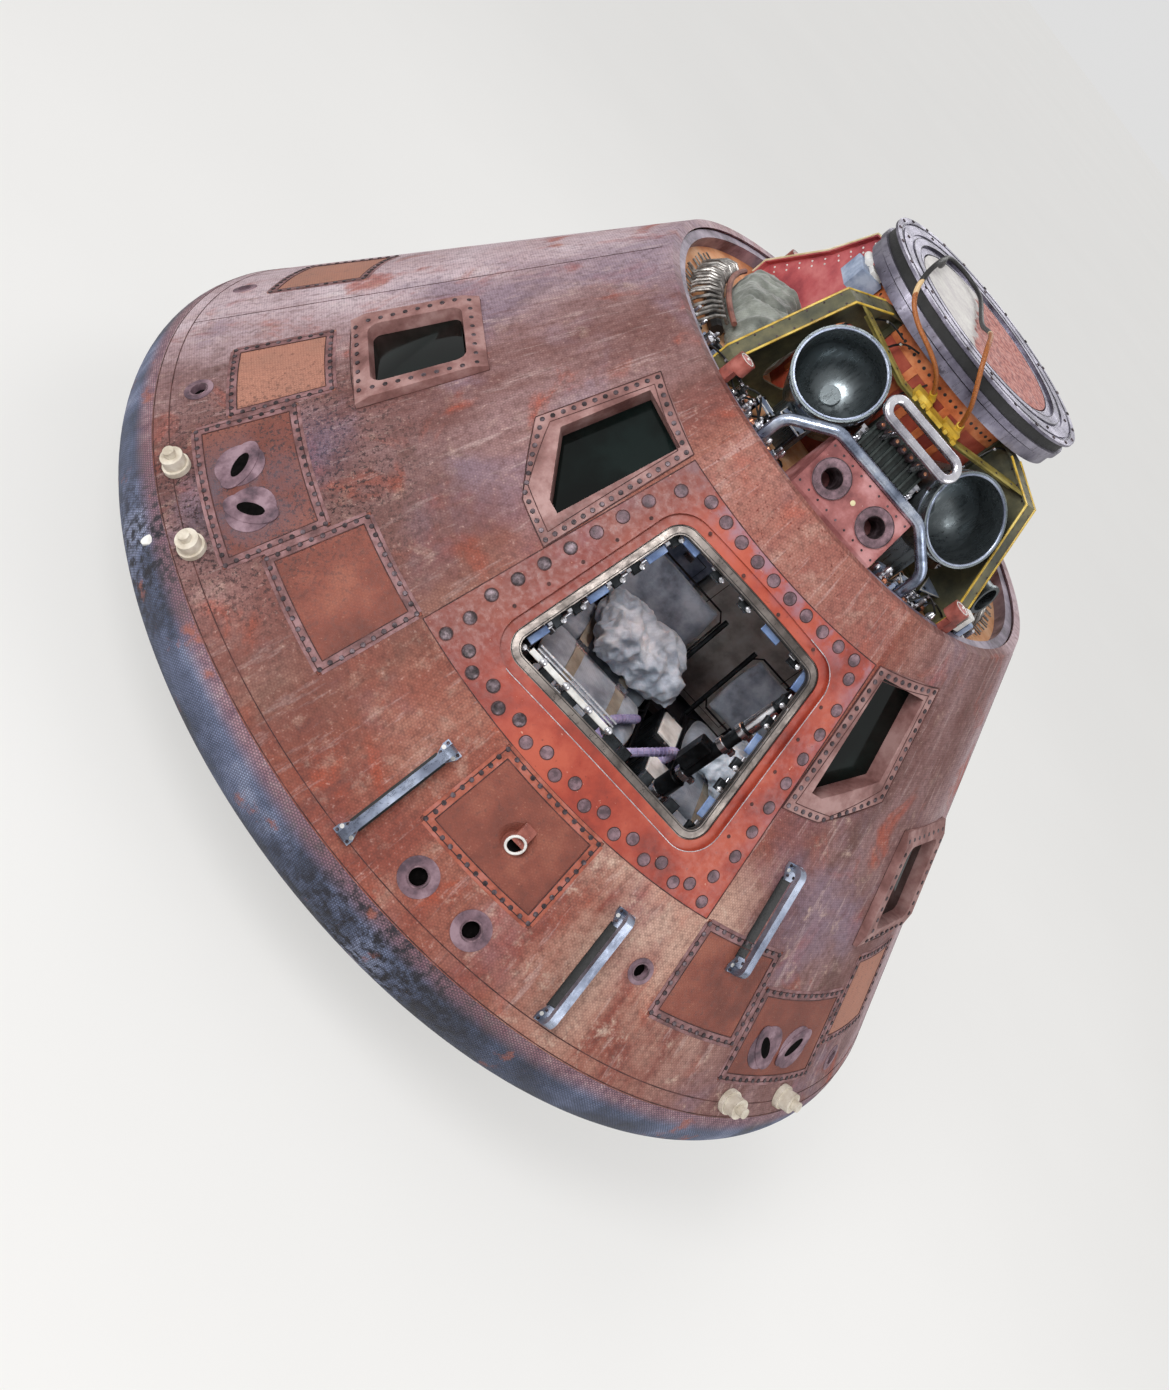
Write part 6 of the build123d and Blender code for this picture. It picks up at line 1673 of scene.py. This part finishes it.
# Boxes between the couches: x, y, size
GAP_BOXES = [(0.345, -0.88, (0.12, 0.18, 0.13)), (0.345, -0.56, (0.11, 0.22, 0.11)),
             (-0.345, -0.76, (0.12, 0.26, 0.12))]
GAP_BOX_Z = 0.956
HOSE = [(0.345, -0.8, 1.08), (0.33, -0.86, 1.18), (0.24, -1.0, 1.19), (0.13, -1.06, 1.11),
        (0.06, -0.96, 1.075), (0.12, -0.82, 1.075), (0.2, -0.7, 1.078)]


def locker_fittings(silver):
    """Lockers on the cabin floor, with a joint round each front and two latches on it."""
    kits = {"blue_grey": Kit("lockers", "blue_grey", "cabin_metal"),
            "white": Kit("white_lockers", "white", "cabin_metal")}
    joints = Kit("locker_joints", "rubber")
    for (x, y, z), (wide, deep, high), look in LOCKERS:
        kits[look].slab(at(x, y, z), (wide, deep, high), 0.008)
        front = axes_place((x, y - deep / 2, z + high / 2), (1, 0, 0), (0, -1, 0))
        half, top = wide / 2 - 0.03, high / 2 - 0.03
        ring = [(-half, -top), (half, -top), (half, top), (-half, top)]
        joints.tube([front @ Vector((*spot, 0.0005)) for spot in ring + ring[:1]], 0.002, 6)
        for side in (-1, 1):
            silver.slab(front @ at(side * wide * 0.3, top - 0.025, 0), (0.05, 0.022, 0.01), 0.002)
    return kits["white"]


def cabin_fittings():
    """Lockers, the clamps of the struts, boxes between the couches and a hose."""
    silver = Kit("cabin_clamps", "chrome", "handhold_metal")
    white = locker_fittings(silver)
    black = Kit("cabin_boxes", "dark")
    hose = Kit("suit_hose", "lilac", "canvas")
    for x in (-STRUT_X, STRUT_X):
        for z in (1.12, 1.24, 1.42, 1.505):
            silver.hoop(at(x, STRUT_Y, z), 0.0235, 0.031, 0.0, 0.022, 24)
            silver.slab(at(x + 0.034, STRUT_Y, z), (0.024, 0.018, 0.022), 0.002)
        black.hoop(at(x, STRUT_Y, 1.15), 0.0235, 0.036, 0.0, 0.075, 24)
        black.slab(at(x - 0.04, STRUT_Y - 0.01, 1.28), (0.05, 0.06, 0.12), 0.006)
        silver.hoop(at(x, STRUT_Y, 1.54), 0.024, 0.0262, 0.0, 0.12, 24)
    for x, y, size in GAP_BOXES:
        wide, deep, high = size
        black.slab(at(x, y, GAP_BOX_Z), size, 0.006)
        white.slab(at(x, y, GAP_BOX_Z + high), (wide * 0.8, deep * 0.7, 0.01), 0.003)
        for side in (-1, 1):
            silver.lathe(at(x, y + side * deep * 0.42, GAP_BOX_Z + high), SCREW, 10)
    route = smooth_route([Vector(spot) for spot in HOSE], 8)
    hose.tube(route, 0.015, 10)
    for before, here, after in zip(route, route[1:], route[2:]):
        ahead = (after - before).normalized()
        rib = [(0.0148, -0.003), (0.0172, 0.0), (0.0148, 0.003)]
        hose.lathe(axes_place(here, ahead.orthogonal(), ahead), rib, 10)


LATCH = [(0.013, 0.0), (0.013, 0.01), (0.008, 0.014), (0.004, 0.016)]
PIN = [(0.007, 0.0), (0.007, 0.012), (0.01, 0.014), (0.01, 0.02), (0.004, 0.024)]


def hatch_way_fittings():
    """Latch bar, hooks and plates in the side hatch's opening."""
    silver = Kit("hatch_way_latches", "chrome", "seal_metal")
    dark = Kit("hatch_way_hooks", "dark")
    blue = Kit("hatch_way_plates", "tag_blue", "cabin_metal")
    white = Kit("hatch_way_bar", "white", "seal_metal")
    face = hull_place(0.0, DOOR_MIDDLE_Z).to_3x3()
    normal = face @ Vector((0, 0, 1))

    def edge_place(corner, share, inside, depth):
        """Place along the opening's edge from that corner on, so far in from it and so deep."""
        start, end = DOOR_CORNERS[corner], DOOR_CORNERS[(corner + 1) % 4]
        along = (end - start).normalized()
        spot = start + (end - start) * share + Vector((-along.y, along.x)) * inside
        return axes_place(on_hatch(spot.x, spot.y, depth), face @ Vector((*along, 0.0)), normal)

    bar_y = DOOR_CORNERS[0].y + 0.066
    bar = [on_hatch(x, bar_y, 0.08) for x in (-0.36, -0.3, -0.2, -0.1, -0.02)]
    for start, end in zip(bar, bar[1:]):
        place = axes_place((start + end) / 2, end - start, normal)
        white.slab(place, ((end - start).length, 0.02, 0.008), 0.002)
    for aside in (0.02, 0.034):
        silver.tube([on_hatch(x, bar_y + aside, 0.092) for x in (-0.345, -0.18, -0.01)], 0.0042, 8)
    for share in (0.16, 0.27, 0.38, 0.48):
        silver.lathe(edge_place(0, share, 0.066, 0.073), LATCH, 12)
        dark.slab(edge_place(0, share + 0.04, 0.052, 0.096), (0.056, 0.04, 0.022), 0.003)
    for share in (0.58, 0.7, 0.84):
        dark.slab(edge_place(0, share, 0.052, 0.1), (0.04, 0.04, 0.028), 0.003)
    for corner, count, inside in ((3, 9, 0.046), (1, 8, 0.028), (2, 5, 0.028)):
        for i in range(count):
            share = (i + 0.7) / (count + 0.4)
            if i % 3 == 1:
                blue.slab(edge_place(corner, share, inside + 0.01, 0.072), (0.072, 0.026, 0.006), 0.002)
                continue
            dark.slab(edge_place(corner, share, inside + 0.008, 0.092), (0.04, 0.036, 0.026), 0.003)
            silver.lathe(edge_place(corner, share - 0.02, inside + 0.014, 0.074), PIN, 10)
            silver.slab(edge_place(corner, share + 0.03, inside + 0.002, 0.08), (0.026, 0.014, 0.014), 0.002)
    rod_x = DOOR_CORNERS[0].x + 0.11
    rod = smooth_route([on_hatch(rod_x + y * 0.15, y, 0.1) for y in (-0.2, -0.05, 0.1, 0.22)], 4)
    silver.tube(rod, 0.006, 10)


random.seed(11)
make_camera()
recovery_cable()
make_light()
make_floor()
hull_fittings()
hatch_frame_fittings()
window_fittings()
handrail_fittings()
hull_extras()
nozzle_fittings()
scoop_fittings()
gusset_fittings()
ring_fittings()
cap_fittings()
mortar_fittings()
engine_box_fittings()
unit_fittings()
pouch_clips()
bay_plates()
bay_clutter()
couches()
canvas_pouches()
stowage_bags()
cabin_fittings()
hatch_way_fittings()
for fitting_kit in KITS:
    fitting_kit.make()
